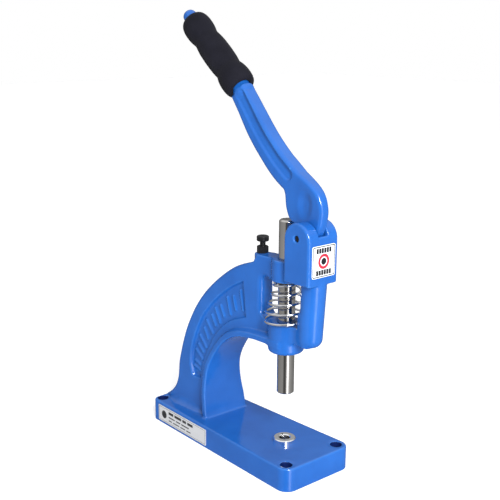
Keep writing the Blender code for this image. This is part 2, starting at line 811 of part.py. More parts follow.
def build_socket(mat):
    stem = SOCKET_STEM_DIA / 2
    flange = SOCKET_FLANGE_DIA / 2
    bore = SOCKET_BORE_DIA / 2
    top = SOCKET_TOP_Z
    low = BASE_HEIGHT + 0.02
    profile = [
        (bore, SOCKET_STEM_Z), (stem - 0.4, SOCKET_STEM_Z), (stem, SOCKET_STEM_Z + 0.4), (stem, low),
        (flange, low), (flange, top - 0.7), (flange - 0.7, top), (bore + 0.7, top), (bore, top - 0.7),
    ]
    obj = turned("die_socket", profile, (0.0, RAM_Y), 44, (0.0, RAM_Y, BASE_HEIGHT))
    a = math.radians(150.0)
    reach = Vector((math.cos(a), math.sin(a), 0.0))
    side = Vector((-reach.y, reach.x, 0.0))
    c = Vector((0.0, RAM_Y, 0.0))
    points = []
    for z in (top - 2.2, top + 3.0):
        for r, s in ((4.0, -1.4), (8.6, -1.4), (8.6, 1.4), (4.0, 1.4)):
            spot = c + reach * r + side * s
            points.append((spot.x, spot.y, z))
    faces = [(3, 2, 1, 0), (4, 5, 6, 7), (0, 1, 5, 4), (1, 2, 6, 5), (2, 3, 7, 6), (3, 0, 4, 7)]
    boolean(obj, mesh_object("c", points, faces), "DIFFERENCE")
    tidy_mesh(obj)
    return finish(obj, mat)


# ---------------------------------------------------------------- plates


def build_badge(mat):
    """Plain rounded badge on the front of the head."""
    side = BADGE_HALF - BADGE_CORNER
    low = BADGE_LOW_Z + BADGE_CORNER
    high = BADGE_HIGH_Z - BADGE_CORNER
    outline = []
    for cx, cz, start in ((side, high, 0.0), (-side, high, 90.0), (-side, low, 180.0), (side, low, 270.0)):
        for k in range(5):
            a = math.radians(start + 90.0 * k / 4)
            outline.append((cx + BADGE_CORNER * math.cos(a), cz + BADGE_CORNER * math.sin(a)))
    y_back = BOX_FRONT_Y - 0.02
    y_face = BOX_FRONT_Y - BADGE_THICK
    count = len(outline)
    points = [(x, y_back, z) for x, z in outline] + [(x, y_face, z) for x, z in outline]
    faces = [tuple(range(count)), tuple(range(2 * count - 1, count - 1, -1))]
    for i in range(count):
        n = (i + 1) % count
        faces.append((i, n, count + n, count + i))
    return finish(mesh_object("head_badge", points, faces), mat)


def build_data_plate(mat):
    """Plain plate on the left side of the base."""
    corners = (
        (PLATE_FIRST_Y, PLATE_LOW_Z), (PLATE_LAST_Y, PLATE_LOW_Z),
        (PLATE_LAST_Y, PLATE_HIGH_Z), (PLATE_FIRST_Y, PLATE_HIGH_Z),
    )
    points = []
    for off in (PLATE_GAP, PLATE_THICK):
        for y, z in corners:
            points.append((-base_half_width(y) - off, y, z))
    faces = [(3, 2, 1, 0), (4, 5, 6, 7), (0, 1, 5, 4), (1, 2, 6, 5), (2, 3, 7, 6), (3, 0, 4, 7)]
    return finish(mesh_object("data_plate", points, faces), mat)


def main():
    clear_scene()
    enamel = make_material("blue_enamel", (0.035, 0.17, 0.66), 0.22, 0.0)
    lever_enamel = make_material("lever_enamel", (0.035, 0.17, 0.66), 0.22, 0.0)
    steel = make_material("ground_steel", (0.55, 0.54, 0.52), 0.28, 1.0)
    chrome = make_material("chrome_plate", (0.75, 0.75, 0.76), 0.12, 1.0)
    spring_steel = make_material("spring_wire", (0.72, 0.71, 0.70), 0.2, 1.0)
    collar = make_material("collar_steel", (0.6, 0.6, 0.6), 0.3, 1.0)
    roll = make_material("roll_pin_steel", (0.2, 0.2, 0.2), 0.4, 1.0)
    oxide = make_material("black_oxide", (0.015, 0.015, 0.017), 0.35, 0.6)
    nut = make_material("nut_oxide", (0.017, 0.017, 0.02), 0.35, 0.6)
    dark = make_material("pin_oxide", (0.012, 0.012, 0.014), 0.4, 0.6)
    foam = make_material("foam", (0.018, 0.018, 0.03), 0.9, 0.0)
    white = make_material("badge_film", (0.85, 0.85, 0.86), 0.4, 0.0)
    foil = make_material("plate_foil", (0.55, 0.55, 0.55), 0.35, 0.8)

    build_casting(enamel)
    build_lever(lever_enamel)
    build_grip(foam)
    build_pin(dark)
    build_ram(steel)
    build_collar(collar)
    build_collar_pin(roll)
    build_spring(spring_steel)
    build_stop_screw(oxide)
    build_lock_nut(nut)
    build_socket(chrome)
    build_badge(white)
    build_data_plate(foil)


main()
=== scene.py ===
"""Looks for a bench press that sets snaps and eyelets.

Lengths inside the shape functions are millimetres in the part's own frame: the
origin is the centre of the base underside, the die is at -Y, +X is to the right.
"""

import math

import bmesh
import bpy
import numpy as np
from mathutils import Matrix, Vector


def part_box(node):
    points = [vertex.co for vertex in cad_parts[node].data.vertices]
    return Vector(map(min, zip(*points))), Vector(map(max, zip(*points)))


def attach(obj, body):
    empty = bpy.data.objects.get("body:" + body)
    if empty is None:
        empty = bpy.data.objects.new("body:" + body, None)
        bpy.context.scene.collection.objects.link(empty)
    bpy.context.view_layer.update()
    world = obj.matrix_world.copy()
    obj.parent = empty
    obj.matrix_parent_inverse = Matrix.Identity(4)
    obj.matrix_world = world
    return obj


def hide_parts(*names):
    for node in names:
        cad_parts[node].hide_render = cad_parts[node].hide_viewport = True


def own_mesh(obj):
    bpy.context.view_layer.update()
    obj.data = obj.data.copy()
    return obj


MM = 0.001
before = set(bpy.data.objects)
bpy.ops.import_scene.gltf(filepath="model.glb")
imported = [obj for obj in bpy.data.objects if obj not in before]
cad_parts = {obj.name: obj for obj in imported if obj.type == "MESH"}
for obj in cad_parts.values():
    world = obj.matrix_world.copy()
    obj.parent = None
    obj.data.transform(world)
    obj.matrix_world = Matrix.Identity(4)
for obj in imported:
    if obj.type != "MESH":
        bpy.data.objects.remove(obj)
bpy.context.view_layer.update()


# ------------------------------------------------------------ places from the frame


def corner_pair(node):
    """Lowest and highest corner of a node, in millimetres."""
    low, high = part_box(node)
    return np.array(low) / MM, np.array(high) / MM


CAST_LOW, CAST_HIGH = corner_pair("frame_casting")
RAM_LOW, RAM_HIGH = corner_pair("ram")
PIN_LOW, PIN_HIGH = corner_pair("pivot_pin")
STOP_LOW, STOP_HIGH = corner_pair("stop_screw")
NUT_LOW, NUT_HIGH = corner_pair("lock_nut")
SOCKET_LOW, SOCKET_HIGH = corner_pair("die_socket")
SPRING_LOW, SPRING_HIGH = corner_pair("return_spring")
COLLAR_LOW, COLLAR_HIGH = corner_pair("spring_collar")
CROSS_LOW, CROSS_HIGH = corner_pair("collar_pin")
BADGE_LOW, BADGE_HIGH = corner_pair("head_badge")
PLATE_LOW, PLATE_HIGH = corner_pair("data_plate")

RAM_Y = (RAM_LOW[1] + RAM_HIGH[1]) / 2
RAM_RADIUS = (RAM_HIGH[0] - RAM_LOW[0]) / 2
PIVOT_Y = (PIN_LOW[1] + PIN_HIGH[1]) / 2
PIVOT_Z = (PIN_LOW[2] + PIN_HIGH[2]) / 2
PIN_RADIUS = (PIN_HIGH[2] - PIN_LOW[2]) / 2
STOP_Y = (STOP_LOW[1] + STOP_HIGH[1]) / 2

# casting
BASE_HALF_LENGTH = CAST_HIGH[1]
BASE_FRONT_HALF = CAST_HIGH[0]
BASE_REAR_HALF = 38.5
BASE_TOP = 24.6
BASE_FRONT_CORNER = 13.0
BASE_REAR_CORNER = 8.0
HOLE_RADIUS = 6.0
HOLES = ((35.0, -105.0), (29.0, 109.0))
BOSS_RADIUS = 18.3
BOSS_BOTTOM = 123.0
SEAT_Z = SPRING_LOW[2] - 0.25
CEILING_Z = 197.0
GUIDE_RADIUS = 15.5
GUIDE_TOP = 219.0
COLUMN_RADIUS = 12.2
COLUMN_Y = -102.3
COLUMN_BOTTOM = 136.4
FORK_FRONT = -114.5
FORK_REAR = -80.0
FORK_HALF = 19.6
FORK_BOTTOM = 202.0
FORK_ROUND_Z = 245.0
SLOT_HALF = 6.3
SLOT_FLOOR = 232.0
SLOT_FRONT = 249.5
POCKET_REAR = -36.5
COLLAR_BORE_RADIUS = 13.4
COLLAR_BORE_TOP = 201.8
POCKET_FRONT = -90.2
BRIDGE_HALF = 9.0
COLUMN_LEAN = 2.8
COLUMN_TAPER = 0.9
COLUMN_TAPER_TOP = 200.0
COLUMN_TAPER_LENGTH = 55.0
STOP_BOSS_RADIUS = 8.2
THREAD_RADIUS = 3.2
THREAD_BOTTOM = 184.5
BORE_GAP = 0.3
SPOT_FACE = 2.2
ARCH_SWELL = 1.3

# throat point, outer point, throat half width, side half width
ARCH = np.array((
    (28.6, 18.0, 116.6, 18.0, 29.8, 24.8),
    (29.4, 25.0, 112.0, 25.2, 29.2, 23.4),
    (30.8, 31.0, 103.5, 32.2, 28.9, 21.6),
    (32.3, 40.0, 96.6, 41.4, 28.4, 20.2),
    (34.2, 50.0, 93.0, 52.0, 27.3, 19.4),
    (35.2, 60.0, 92.0, 62.0, 26.0, 19.0),
    (35.0, 70.0, 91.3, 72.0, 24.8, 18.7),
    (33.4, 80.0, 88.6, 84.0, 23.6, 18.2),
    (29.5, 90.0, 85.4, 96.5, 22.6, 17.5),
    (23.5, 100.0, 80.3, 112.0, 21.8, 16.6),
    (15.5, 111.0, 73.4, 127.0, 21.2, 15.7),
    (6.5, 119.5, 65.0, 141.5, 20.6, 14.9),
    (-2.5, 125.0, 53.5, 156.8, 20.2, 13.9),
    (-12.0, 128.2, 39.5, 171.0, 20.0, 12.9),
    (-21.0, 129.8, 23.5, 184.3, 19.4, 11.7),
    (-30.0, 130.6, 7.5, 195.2, 18.8, 10.7),
    (-38.0, 131.0, -8.0, 203.0, 18.3, 9.8),
    (-52.0, 131.0, -20.0, 207.6, 17.8, 9.1),
    (-72.0, 131.0, -40.0, 212.0, 17.6, 9.0),
))
HEAD_OUTLINE = ((-74.0, 218.7), (-36.0, 218.3), (-30.0, 217.4), (-24.6, 209.6), (-18.0, 206.8))
RECESS_OUTER = (
    (66.0, 62.0), (70.6, 78.0), (67.3, 100.0), (58.5, 123.2), (47.1, 140.9), (30.3, 158.5), (9.9, 174.7),
    (-9.5, 185.2),
)
RECESS_INNER = (
    (-15.5, 148.5), (8.0, 139.0), (25.9, 123.9), (37.7, 106.1), (46.0, 88.1), (51.2, 72.0), (52.0, 63.0),
)
RECESS_DEPTH = 3.8
RIB_COUNT = 13
RIB_HEIGHT = 1.5

# lever
HUB_REAR = (
    (-61.5, 290.6), (-64.6, 288.6), (-66.2, 284.0), (-66.5, 278.5), (-66.8, 273.0), (-67.7, 268.0),
    (-69.4, 263.4), (-72.2, 259.7), (-76.0, 257.2), (-81.0, 255.8), (-84.8, 253.6), (-85.4, 249.0),
)
HUB_FRONT = (
    (-111.8, 253.6), (-114.2, 260.0), (-115.3, 267.7), (-114.8, 276.0), (-112.4, 284.0), (-107.8, 291.0),
    (-100.6, 296.8), (-92.0, 302.0),
)
# underside and upper edge of the arm, from the hub to the grip
ARM = np.array((
    (-61.8, 290.6, -83.4, 306.6),
    (-51.0, 298.3, -72.5, 314.4),
    (-41.5, 306.2, -62.0, 322.0),
    (-32.5, 315.0, -52.0, 330.6),
    (-22.0, 325.8, -42.0, 340.2),
    (-12.1, 337.5, -32.5, 350.6),
    (-5.0, 347.5, -24.5, 359.8),
    (2.0, 357.8, -17.0, 368.4),
    (9.0, 367.2, -9.0, 377.6),
    (12.6, 372.4, -3.4, 384.0),
))
HUB_HALF = 6.0
ARM_HALF = 8.4
GRIP_START = np.array((5.0, 381.0))
GRIP_END = np.array((84.0, 446.5))
GRIP_LENGTH = float(np.linalg.norm(GRIP_END - GRIP_START))
GRIP_AXIS = (GRIP_END - GRIP_START) / GRIP_LENGTH
TANG_RADIUS = 9.2
TIP_RADIUS = 7.2
LEVER_SWELL = 0.9
TROUGH_DEPTH = 3.2
THUMB_DISH_DEPTH = 2.0

# return spring: wire radius, coil radii at foot and top, turns that lie closed and that work
WIRE_RADIUS = 1.25
SPRING_WIDE = 21.9
SPRING_NARROW = 12.6
SPRING_CLOSED_TURNS = 0.7
SPRING_OPEN_TURNS = 4.32
SPRING_START_DEGREES = -87.4


# ------------------------------------------------------------ fields


def smooth_step(low, high, value):
    """0 at low, 1 at high, level at both ends."""
    t = np.clip((value - low) / (high - low), 0.0, 1.0)
    return t * t * (3.0 - 2.0 * t)


def union(a, b, fillet):
    """Both bodies, with a round fillet where they meet."""
    corner = np.hypot(np.maximum(fillet - a, 0.0), np.maximum(fillet - b, 0.0))
    return np.maximum(np.minimum(a, b), fillet) - corner


def common(a, b, rounding):
    """What both bodies share, with round edges."""
    corner = np.hypot(np.maximum(rounding + a, 0.0), np.maximum(rounding + b, 0.0))
    return np.minimum(np.maximum(a, b), -rounding) + corner


def cut(a, b, rounding):
    """The first body without the second, with round edges."""
    return common(a, -b, rounding)


def slab(value, low, high):
    return np.maximum(low - value, value - high)


def upright(x, y, z, centre, radius, low, high, rounding):
    """Vertical round bar with round ends."""
    wall = np.hypot(x - centre[0], y - centre[1]) - radius
    return common(wall, slab(z, low, high), rounding)


def flowing(points, per_span=5):
    """Open Catmull-Rom curve through rows of numbers."""
    rows = np.array(points, float)
    rows = np.vstack((2 * rows[0] - rows[1], rows, 2 * rows[-1] - rows[-2]))
    result = []
    for i in range(1, len(rows) - 2):
        a, b, c, d = rows[i - 1: i + 3]
        for k in range(per_span):
            t = k / per_span
            result.append(0.5 * (2 * b + (c - a) * t + (2 * a - 5 * b + 4 * c - d) * t * t
                                 + (3 * b - a - 3 * c + d) * t * t * t))
    result.append(rows[-2])
    return np.array(result)


def nearest(line, y, z):
    """Distance to an open line, and where along it as a fractional index."""
    best = np.full(np.broadcast(y, z).shape, 1e9)
    place = np.zeros_like(best)
    for i in range(len(line) - 1):
        ay, az = line[i][:2]
        dy, dz = line[i + 1][0] - ay, line[i + 1][1] - az
        t = np.clip(((y - ay) * dy + (z - az) * dz) / (dy * dy + dz * dz + 1e-12), 0.0, 1.0)
        away = np.hypot(y - ay - t * dy, z - az - t * dz)
        closer = away < best
        best = np.where(closer, away, best)
        place = np.where(closer, i + t, place)
    return best, place


def inside_distance(outline, y, z):
    """Distance to a closed outline, negative inside it."""
    ring = np.vstack((outline, outline[:1]))
    away, _ = nearest(ring, y, z)
    inside = np.zeros(away.shape, bool)
    for i in range(len(ring) - 1):
        ay, az = ring[i][:2]
        by, bz = ring[i + 1][:2]
        if az == bz:
            continue
        crosses = ((az > z) != (bz > z)) & (y < (by - ay) * (z - az) / (bz - az) + ay)
        inside ^= crosses
    return np.where(inside, -away, away)


class Chart:
    """Values kept on a grid over Y and Z and read back between its points."""

    def __init__(self, low, high, step, maker):
        self.low = low
        self.step = step
        self.y = np.arange(low[0], high[0] + step, step)
        self.z = np.arange(low[1], high[1] + step, step)
        self.layers = maker(self.y[:, None], self.z[None, :])

    def read(self, y, z):
        """Each layer's value at (y, z), blended from the four points around it."""
        y, z = np.broadcast_arrays(y, z)
        u = np.clip((y - self.low[0]) / self.step, 0, len(self.y) - 1.001)
        v = np.clip((z - self.low[1]) / self.step, 0, len(self.z) - 1.001)
        i, j = u.astype(int), v.astype(int)
        fu, fv = u - i, v - j
        return [layer[i, j] * (1 - fu) * (1 - fv) + layer[i + 1, j] * fu * (1 - fv)
                + layer[i, j + 1] * (1 - fu) * fv + layer[i + 1, j + 1] * fu * fv for layer in self.layers]


def skin(name, field, low, high, step):
    """Closed mesh of the surface where a field is zero, by surface nets."""
    axes = [np.arange(low[k] - 2.3 * step, high[k] + 2.6 * step, step) for k in range(3)]
    grid = field(axes[0][:, None, None], axes[1][None, :, None], axes[2][None, None, :])
    solid = grid < 0.0
    cells = np.array(grid.shape) - 1
    corners = [(i, j, k) for i in (0, 1) for j in (0, 1) for k in (0, 1)]

    def corner_values(source, corner):
        return source[tuple(slice(corner[n], corner[n] + cells[n]) for n in range(3))]

    count = sum(corner_values(solid, c).astype(np.int8) for c in corners)
    mixed = (count > 0) & (count < 8)
    index = np.full(mixed.shape, -1)
    index[mixed] = np.arange(int(mixed.sum()))
    spots = np.argwhere(mixed)
    total = np.zeros(spots.shape)
    weight = np.zeros(len(spots))
    for a in corners:
        for axis in range(3):
            if a[axis]:
                continue
            b = tuple(v + (n == axis) for n, v in enumerate(a))
            va = grid[tuple((spots + a).T)]
            vb = grid[tuple((spots + b).T)]
            crossed = (va < 0) != (vb < 0)
            share = np.where(crossed, va / np.where(crossed, va - vb, 1.0), 0.0)
            point = np.array(a, float) + share[:, None] * (np.arange(3) == axis)
            total += point * crossed[:, None]
            weight += crossed
    origin = np.array([axis[0] for axis in axes])
    points = origin + (spots + total / weight[:, None]) * step

    quads = []
    for axis in range(3):
        b, c = (axis + 1) % 3, (axis + 2) % 3
        first = solid[tuple(slice(0, -1) if n == axis else slice(None) for n in range(3))]
        second = solid[tuple(slice(1, None) if n == axis else slice(None) for n in range(3))]
        edges = np.argwhere(first != second)
        ring = []
        for db, dc in ((0, 0), (-1, 0), (-1, -1), (0, -1)):
            cell = edges.copy()
            cell[:, b] += db
            cell[:, c] += dc
            ring.append(index[tuple(cell.T)])
        quad = np.stack(ring, axis=1)
        outward = first[tuple(edges.T)]
        quads.append(np.where(outward[:, None], quad, quad[:, ::-1]))
    quads = np.vstack(quads)
    points = settle(points, field, step)
    mesh = bpy.data.meshes.new(name)
    mesh.from_pydata((points * MM).tolist(), [], quads.tolist())
    mesh.validate()
    mesh.shade_smooth()
    obj = bpy.data.objects.new(name, mesh)
    bpy.context.scene.collection.objects.link(obj)
    return obj


def settle(points, field, step):
    """Move points onto the surface along the field's slope."""
    probe = 0.06
    for _ in range(3):
        value = field(*points.T)
        slope = np.empty_like(points)
        for n in range(3):
            shift = np.zeros(3)
            shift[n] = probe
            slope[:, n] = (field(*(points + shift).T) - field(*(points - shift).T)) / (2 * probe)
        move = -value[:, None] * slope / np.maximum((slope ** 2).sum(1), 0.05)[:, None]
        size = np.linalg.norm(move, axis=1, keepdims=True)
        points = points + move * np.minimum(1.0, 0.5 * step / np.maximum(size, 1e-9))
    return points


# ------------------------------------------------------------ casting


def arch_chart():
    """Outline distance, half thickness and edge rounding of arch and head web."""
    throat = flowing(ARCH[:, (0, 1)])
    outer = flowing(ARCH[:-2, (2, 3)])
    halves = flowing(ARCH[:, (4, 5)])
    outline = np.vstack((throat, HEAD_OUTLINE, outer[::-1]))
    recess_outer = flowing(RECESS_OUTER)
    recess_inner = flowing(RECESS_INNER)
    recess = np.vstack((recess_outer, recess_inner))
    ribs = rib_lines(recess_outer, recess_inner)

    def make(y, z):
        edge = inside_distance(outline, y, z)
        from_throat, at_throat = nearest(throat, y, z)
        from_outer, at_outer = nearest(outer, y, z)
        share = from_throat / (from_throat + from_outer + 1e-9)
        edge = edge - ARCH_SWELL * smooth_step(0.4, 0.9, share) * smooth_step(-25.0, 5.0, y)
        place = np.clip((1 - share) * at_throat + share * at_outer, 0, len(halves) - 1.001)
        row = place.astype(int)
        part = place - row
        throat_half = halves[row, 0] * (1 - part) + halves[row + 1, 0] * part
        side_half = halves[row, 1] * (1 - part) + halves[row + 1, 1] * part
        flange = 1.0 - smooth_step(5.0, 9.6, from_throat)
        half = side_half + (throat_half - side_half) * flange
        sunk = smooth_step(1.0, -1.4, inside_distance(recess, y, z))
        raised = np.zeros_like(half)
        for line in ribs:
            away, _ = nearest(line, y, z)
            raised = np.maximum(raised, RIB_HEIGHT * smooth_step(2.3, 0.9, away))
        half = half - sunk * (RECESS_DEPTH - raised)
        rounding = 1.3 + 2.7 * smooth_step(0.35, 0.7, share) * smooth_step(-30.0, 0.0, y)
        return edge, half, rounding

    return Chart((-80.0, 14.0), (120.0, 224.0), 0.5, make)


def rib_lines(outer, inner):
    """Short raised bars set across the recess, in turn long and short."""
    lines = []
    for k in range(RIB_COUNT):
        t = 0.12 + 0.83 * k / (RIB_COUNT - 1)
        a = outer[int(t * (len(outer) - 1))]
        b = inner[int((1 - t) * (len(inner) - 1))]
        reach = 0.21 if k % 2 else 0.29
        middle = (a + b) / 2
        lines.append(np.array((middle + (a - b) * reach, middle - (a - b) * reach)))
    return lines


def base_half(y):
    """Half width of the base, which narrows towards the rear."""
    along = (y + BASE_HALF_LENGTH) / (2 * BASE_HALF_LENGTH)
    return BASE_FRONT_HALF + (BASE_REAR_HALF - BASE_FRONT_HALF) * along


def base_field(side, y, z):
    corner = np.where(y < 0.0, BASE_FRONT_CORNER, BASE_REAR_CORNER)
    plan = common(side - base_half(y), np.abs(y) - BASE_HALF_LENGTH, corner)
    top = common(plan, z - BASE_TOP, 1.8)
    return common(top, -z, 0.8)


def pocket_field(x, y, z):
    """Opening for the return spring, through the head."""
    long_way = slab(y, POCKET_FRONT, POCKET_REAR)
    high_way = slab(z, SEAT_Z, CEILING_Z)
    rounding = np.where(y > -60.0, 6.0, 0.6)
    return common(common(long_way, high_way, rounding), np.abs(x) - 40.0, 0.1)


def column_field(x, side, y, z):
    """Round column in front of the spring, leaning and tapering, with a bridge to the boss."""
    down = np.clip((COLUMN_TAPER_TOP - z) / COLUMN_TAPER_LENGTH, 0.0, 1.0)
    wall = np.hypot(x, y - COLUMN_Y + 0.6 - COLUMN_LEAN * down) - COLUMN_RADIUS - 0.3 + COLUMN_TAPER * down
    column = common(wall, slab(z, COLUMN_BOTTOM, FORK_BOTTOM + 6.0), 9.5)
    bridge = common(side - BRIDGE_HALF, np.maximum(slab(y, -100.0, -78.0), slab(z, 137.0, 170.0)), 2.0)
    return union(column, bridge, 4.5)


def fork_field(side, y, z):
    """Fork block that holds the lever, with a round crown."""
    middle = (FORK_FRONT + FORK_REAR) / 2
    radius = (FORK_REAR - FORK_FRONT) / 2
    crown = np.hypot(y - middle, np.maximum(z - FORK_ROUND_Z, 0.0)) - radius
    return common(common(crown, FORK_BOTTOM - z, 1.6), side - FORK_HALF, 2.6)


def cut_head(body, x, side, y, z):
    """Spring pocket, lever slot, pivot hole, ram bore and stop thread."""
    inner_wall = smooth_step(-52.0, -42.0, y) * smooth_step(SEAT_Z, SEAT_Z + 9.0, z)
    body = cut(body, pocket_field(x, y, z), 1.1 + 4.4 * inner_wall)
    slot = common(side - SLOT_HALF, np.maximum(slab(y, -110.0, -60.0), SLOT_FLOOR - z), 0.8)
    notch = common(side - SLOT_HALF, np.maximum(y + 100.0, SLOT_FRONT - z), 0.8)
    body = cut(body, np.minimum(slot, notch), 0.9)
    body = cut(body, np.hypot(y - PIVOT_Y, z - PIVOT_Z) - PIN_RADIUS - 0.1, 0.5)
    from_ram = np.hypot(x, y - RAM_Y)
    bore = np.maximum(from_ram - RAM_RADIUS - BORE_GAP, slab(z, 60.0, 300.0))
    collar_bore = np.maximum(from_ram - COLLAR_BORE_RADIUS, slab(z, 190.0, COLLAR_BORE_TOP))
    body = cut(body, np.minimum(bore, collar_bore), 0.4)
    thread = np.maximum(np.hypot(x, y - STOP_Y) - THREAD_RADIUS, THREAD_BOTTOM - z)
    return cut(body, thread, 0.4)


def cut_base(body, x, side, y, z):
    """Bolt holes, each with a flat round it, and the seat of the die socket."""
    for hole_x, hole_y in HOLES:
        from_hole = np.hypot(side - hole_x, y - hole_y)
        spot_face = np.maximum(from_hole - HOLE_RADIUS - SPOT_FACE, BASE_TOP - z)
        body = cut(body, np.minimum(from_hole - HOLE_RADIUS, spot_face), 0.9)
    seat = (SOCKET_HIGH[0] - SOCKET_LOW[0]) / 2 - 3.0
    return cut(body, np.maximum(np.hypot(x, y - RAM_Y) - seat, z - 50.0), 0.4)


def casting_field(chart):
    def field(x, y, z):
        side = np.abs(x)
        edge, half, rounding = chart.read(y, z)
        web = common(edge, side - half, rounding)
        foot = 2.6 + 6.4 * smooth_step(36.0, 58.0, y) - 7.6 * smooth_step(84.0, 108.0, y)
        body = union(web, base_field(side, y, z), foot)
        boss = upright(x, y, z, (0.0, RAM_Y), BOSS_RADIUS, BOSS_BOTTOM, SEAT_Z + 8.0, 4.2)
        body = union(body, boss, 3.5)
        body = union(body, column_field(x, side, y, z), 4.0)
        guide = upright(x, y, z, (0.0, RAM_Y), GUIDE_RADIUS, CEILING_Z - 8.0, GUIDE_TOP, 1.6)
        body = union(body, guide, 2.0)
        stop = upright(x, y, z, (0.0, STOP_Y), STOP_BOSS_RADIUS, 168.0, NUT_LOW[2] - 0.1, 1.2)
        body = union(body, stop, 2.0)
        body = union(body, fork_field(side, y, z), 1.8)
        return cut_base(cut_head(body, x, side, y, z), x, side, y, z)

    return field


def make_casting():
    step = 1.1
    obj = skin("casting", casting_field(arch_chart()), CAST_LOW, CAST_HIGH, step)
    finish_piece(obj, enamel(), "blue_enamel", "frame", "frame_casting")
    # Faces inside the bolt holes get a near-black navy material: painted shade.
    obj.data.materials.append(hole_painted_shade())
    for face in obj.data.polygons:
        x, y, z = (c / MM for c in face.center)
        from_hole = min(math.hypot(abs(x) - u, y - v) for u, v in HOLES)
        if z < BASE_TOP - 0.6 and from_hole < HOLE_RADIUS + 0.4:
            face.material_index = 1


# ------------------------------------------------------------ lever


def lever_chart():
    """Outline distance and half thickness of the lever, with its trough and thumb dish."""
    turns = np.radians(np.linspace(180, 350, 8))
    eye = [(PIVOT_Y + 12.0 * math.cos(a), PIVOT_Z + 12.0 * math.sin(a)) for a in turns]
    under = flowing(ARM[:, (0, 1)])
    upper = flowing(ARM[:, (2, 3)])
    hub = flowing(list(HUB_FRONT)[::-1] + eye + list(HUB_REAR)[::-1])
    outline = np.vstack((hub, under, upper[::-1]))
    axis = flowing(ARM[:, (0, 1)] * 0.36 + ARM[:, (2, 3)] * 0.64)
    trough_line = axis[2:-4]

    def make(y, z):
        edge = inside_distance(outline, y, z) - LEVER_SWELL * smooth_step(262.0, 276.0, z)
        from_pivot = np.hypot(y - PIVOT_Y, z - PIVOT_Z)
        half = HUB_HALF + (ARM_HALF - HUB_HALF) * smooth_step(34.0, 68.0, from_pivot)
        from_under, _ = nearest(under, y, z)
        from_upper, _ = nearest(upper, y, z)
        away, _ = nearest(trough_line, y, z)
        lean = from_under / (from_under + from_upper + 1e-9)
        trough = smooth_step(6.9, 3.6, away) * (0.55 + 0.45 * smooth_step(0.45, 0.8, lean))
        oval = np.hypot((y + 94.0) / 11.0, (z - 277.0) / 17.0)
        half = half - TROUGH_DEPTH * trough - THUMB_DISH_DEPTH * smooth_step(1.0, 0.25, oval)
        return edge, half

    return Chart((-122.0, 228.0), (20.0, 392.0), 0.5, make)


def lever_field(chart):
    def field(x, y, z):
        edge, half = chart.read(y, z)
        body = common(edge, np.abs(x) - half, 3.9)
        along = (y - GRIP_START[0]) * GRIP_AXIS[0] + (z - GRIP_START[1]) * GRIP_AXIS[1]
        across = (z - GRIP_START[1]) * GRIP_AXIS[0] - (y - GRIP_START[0]) * GRIP_AXIS[1]
        narrowing = smooth_step(GRIP_LENGTH - 14.0, GRIP_LENGTH - 6.0, along)
        radius = TANG_RADIUS + (TIP_RADIUS - TANG_RADIUS) * narrowing
        tang = common(np.hypot(x, across) - radius, slab(along, -9.0, GRIP_LENGTH + 12.0), 5.6)
        body = union(body, tang, 3.0)
        return cut(body, np.hypot(y - PIVOT_Y, z - PIVOT_Z) - PIN_RADIUS - 0.15, 0.4)

    return field


def make_lever():
    step = 0.9
    low, high = corner_pair("hand_lever")
    obj = skin("lever", lever_field(lever_chart()), low, high, step)
    finish_piece(obj, enamel(), "lever_enamel", "lever", "hand_lever")


# ------------------------------------------------------------ turned pieces


def turned(name, profile, centre=(0.0, 0.0), steps=96, edge=0.25, closed=False):
    """Solid of revolution about a vertical line; profile holds (radius, z)."""
    bm = bmesh.new()
    rings = []
    for radius, z in profile:
        if radius < 1e-6:
            rings.append([bm.verts.new((centre[0] * MM, centre[1] * MM, z * MM))])
            continue
        ring = []
        for k in range(steps):
            a = 2 * math.pi * k / steps
            x = centre[0] + radius * math.cos(a)
            y = centre[1] + radius * math.sin(a)
            ring.append(bm.verts.new((x * MM, y * MM, z * MM)))
        rings.append(ring)
    pairs = list(zip(rings, rings[1:]))
    if closed:
        pairs.append((rings[-1], rings[0]))
    for low, high in pairs:
        for k in range(steps):
            n = (k + 1) % steps
            if len(low) == 1:
                bm.faces.new((low[0], high[n], high[k]))
            elif len(high) == 1:
                bm.faces.new((low[k], low[n], high[0]))
            else:
                bm.faces.new((low[k], low[n], high[n], high[k]))
    bmesh.ops.recalc_face_normals(bm, faces=bm.faces)
    return from_bmesh(name, bm, edge)


def from_bmesh(name, bm, edge=0.0):
    mesh = bpy.data.meshes.new(name)
    bm.to_mesh(mesh)
    bm.free()
    mesh.shade_smooth()
    mesh.set_sharp_from_angle(angle=math.radians(38.0))
    obj = bpy.data.objects.new(name, mesh)
    bpy.context.scene.collection.objects.link(obj)
    if edge:
        soften(obj, edge)
    return obj


def soften(obj, width):
    """Round the sharp edges so that they catch the light."""
    bevel = obj.modifiers.new("edge", "BEVEL")
    bevel.width = width * MM
    bevel.segments = 3
    bevel.limit_method = "ANGLE"
    bevel.angle_limit = math.radians(35.0)
    bevel.harden_normals = True


def combine(obj, other, operation):
    """Cut or intersect one mesh with another and drop the other."""
    mod = obj.modifiers.new("combine", "BOOLEAN")
    mod.operation = operation
    mod.solver = "EXACT"
    mod.object = other
    apply_modifiers(obj)
    bpy.data.objects.remove(other, do_unlink=True)


def apply_modifiers(obj):
    graph = bpy.context.evaluated_depsgraph_get()
    mesh = bpy.data.meshes.new_from_object(obj.evaluated_get(graph))
    obj.modifiers.clear()
    obj.data = mesh


def make_ram():
    low, high = RAM_LOW[2], RAM_HIGH[2]
    profile = [
        (0.0, low + 18.0), (4.0, low + 18.0), (4.0, low + 0.5), (4.5, low), (RAM_RADIUS - 0.9, low),
        (RAM_RADIUS, low + 0.9), (RAM_RADIUS, high - 1.6), (RAM_RADIUS - 1.6, high), (0.0, high),
    ]
    obj = turned("ram_bar", profile, (0.0, RAM_Y), edge=0.15)
    finish_piece(obj, ground_steel(), "ground_steel", "ram", "ram")


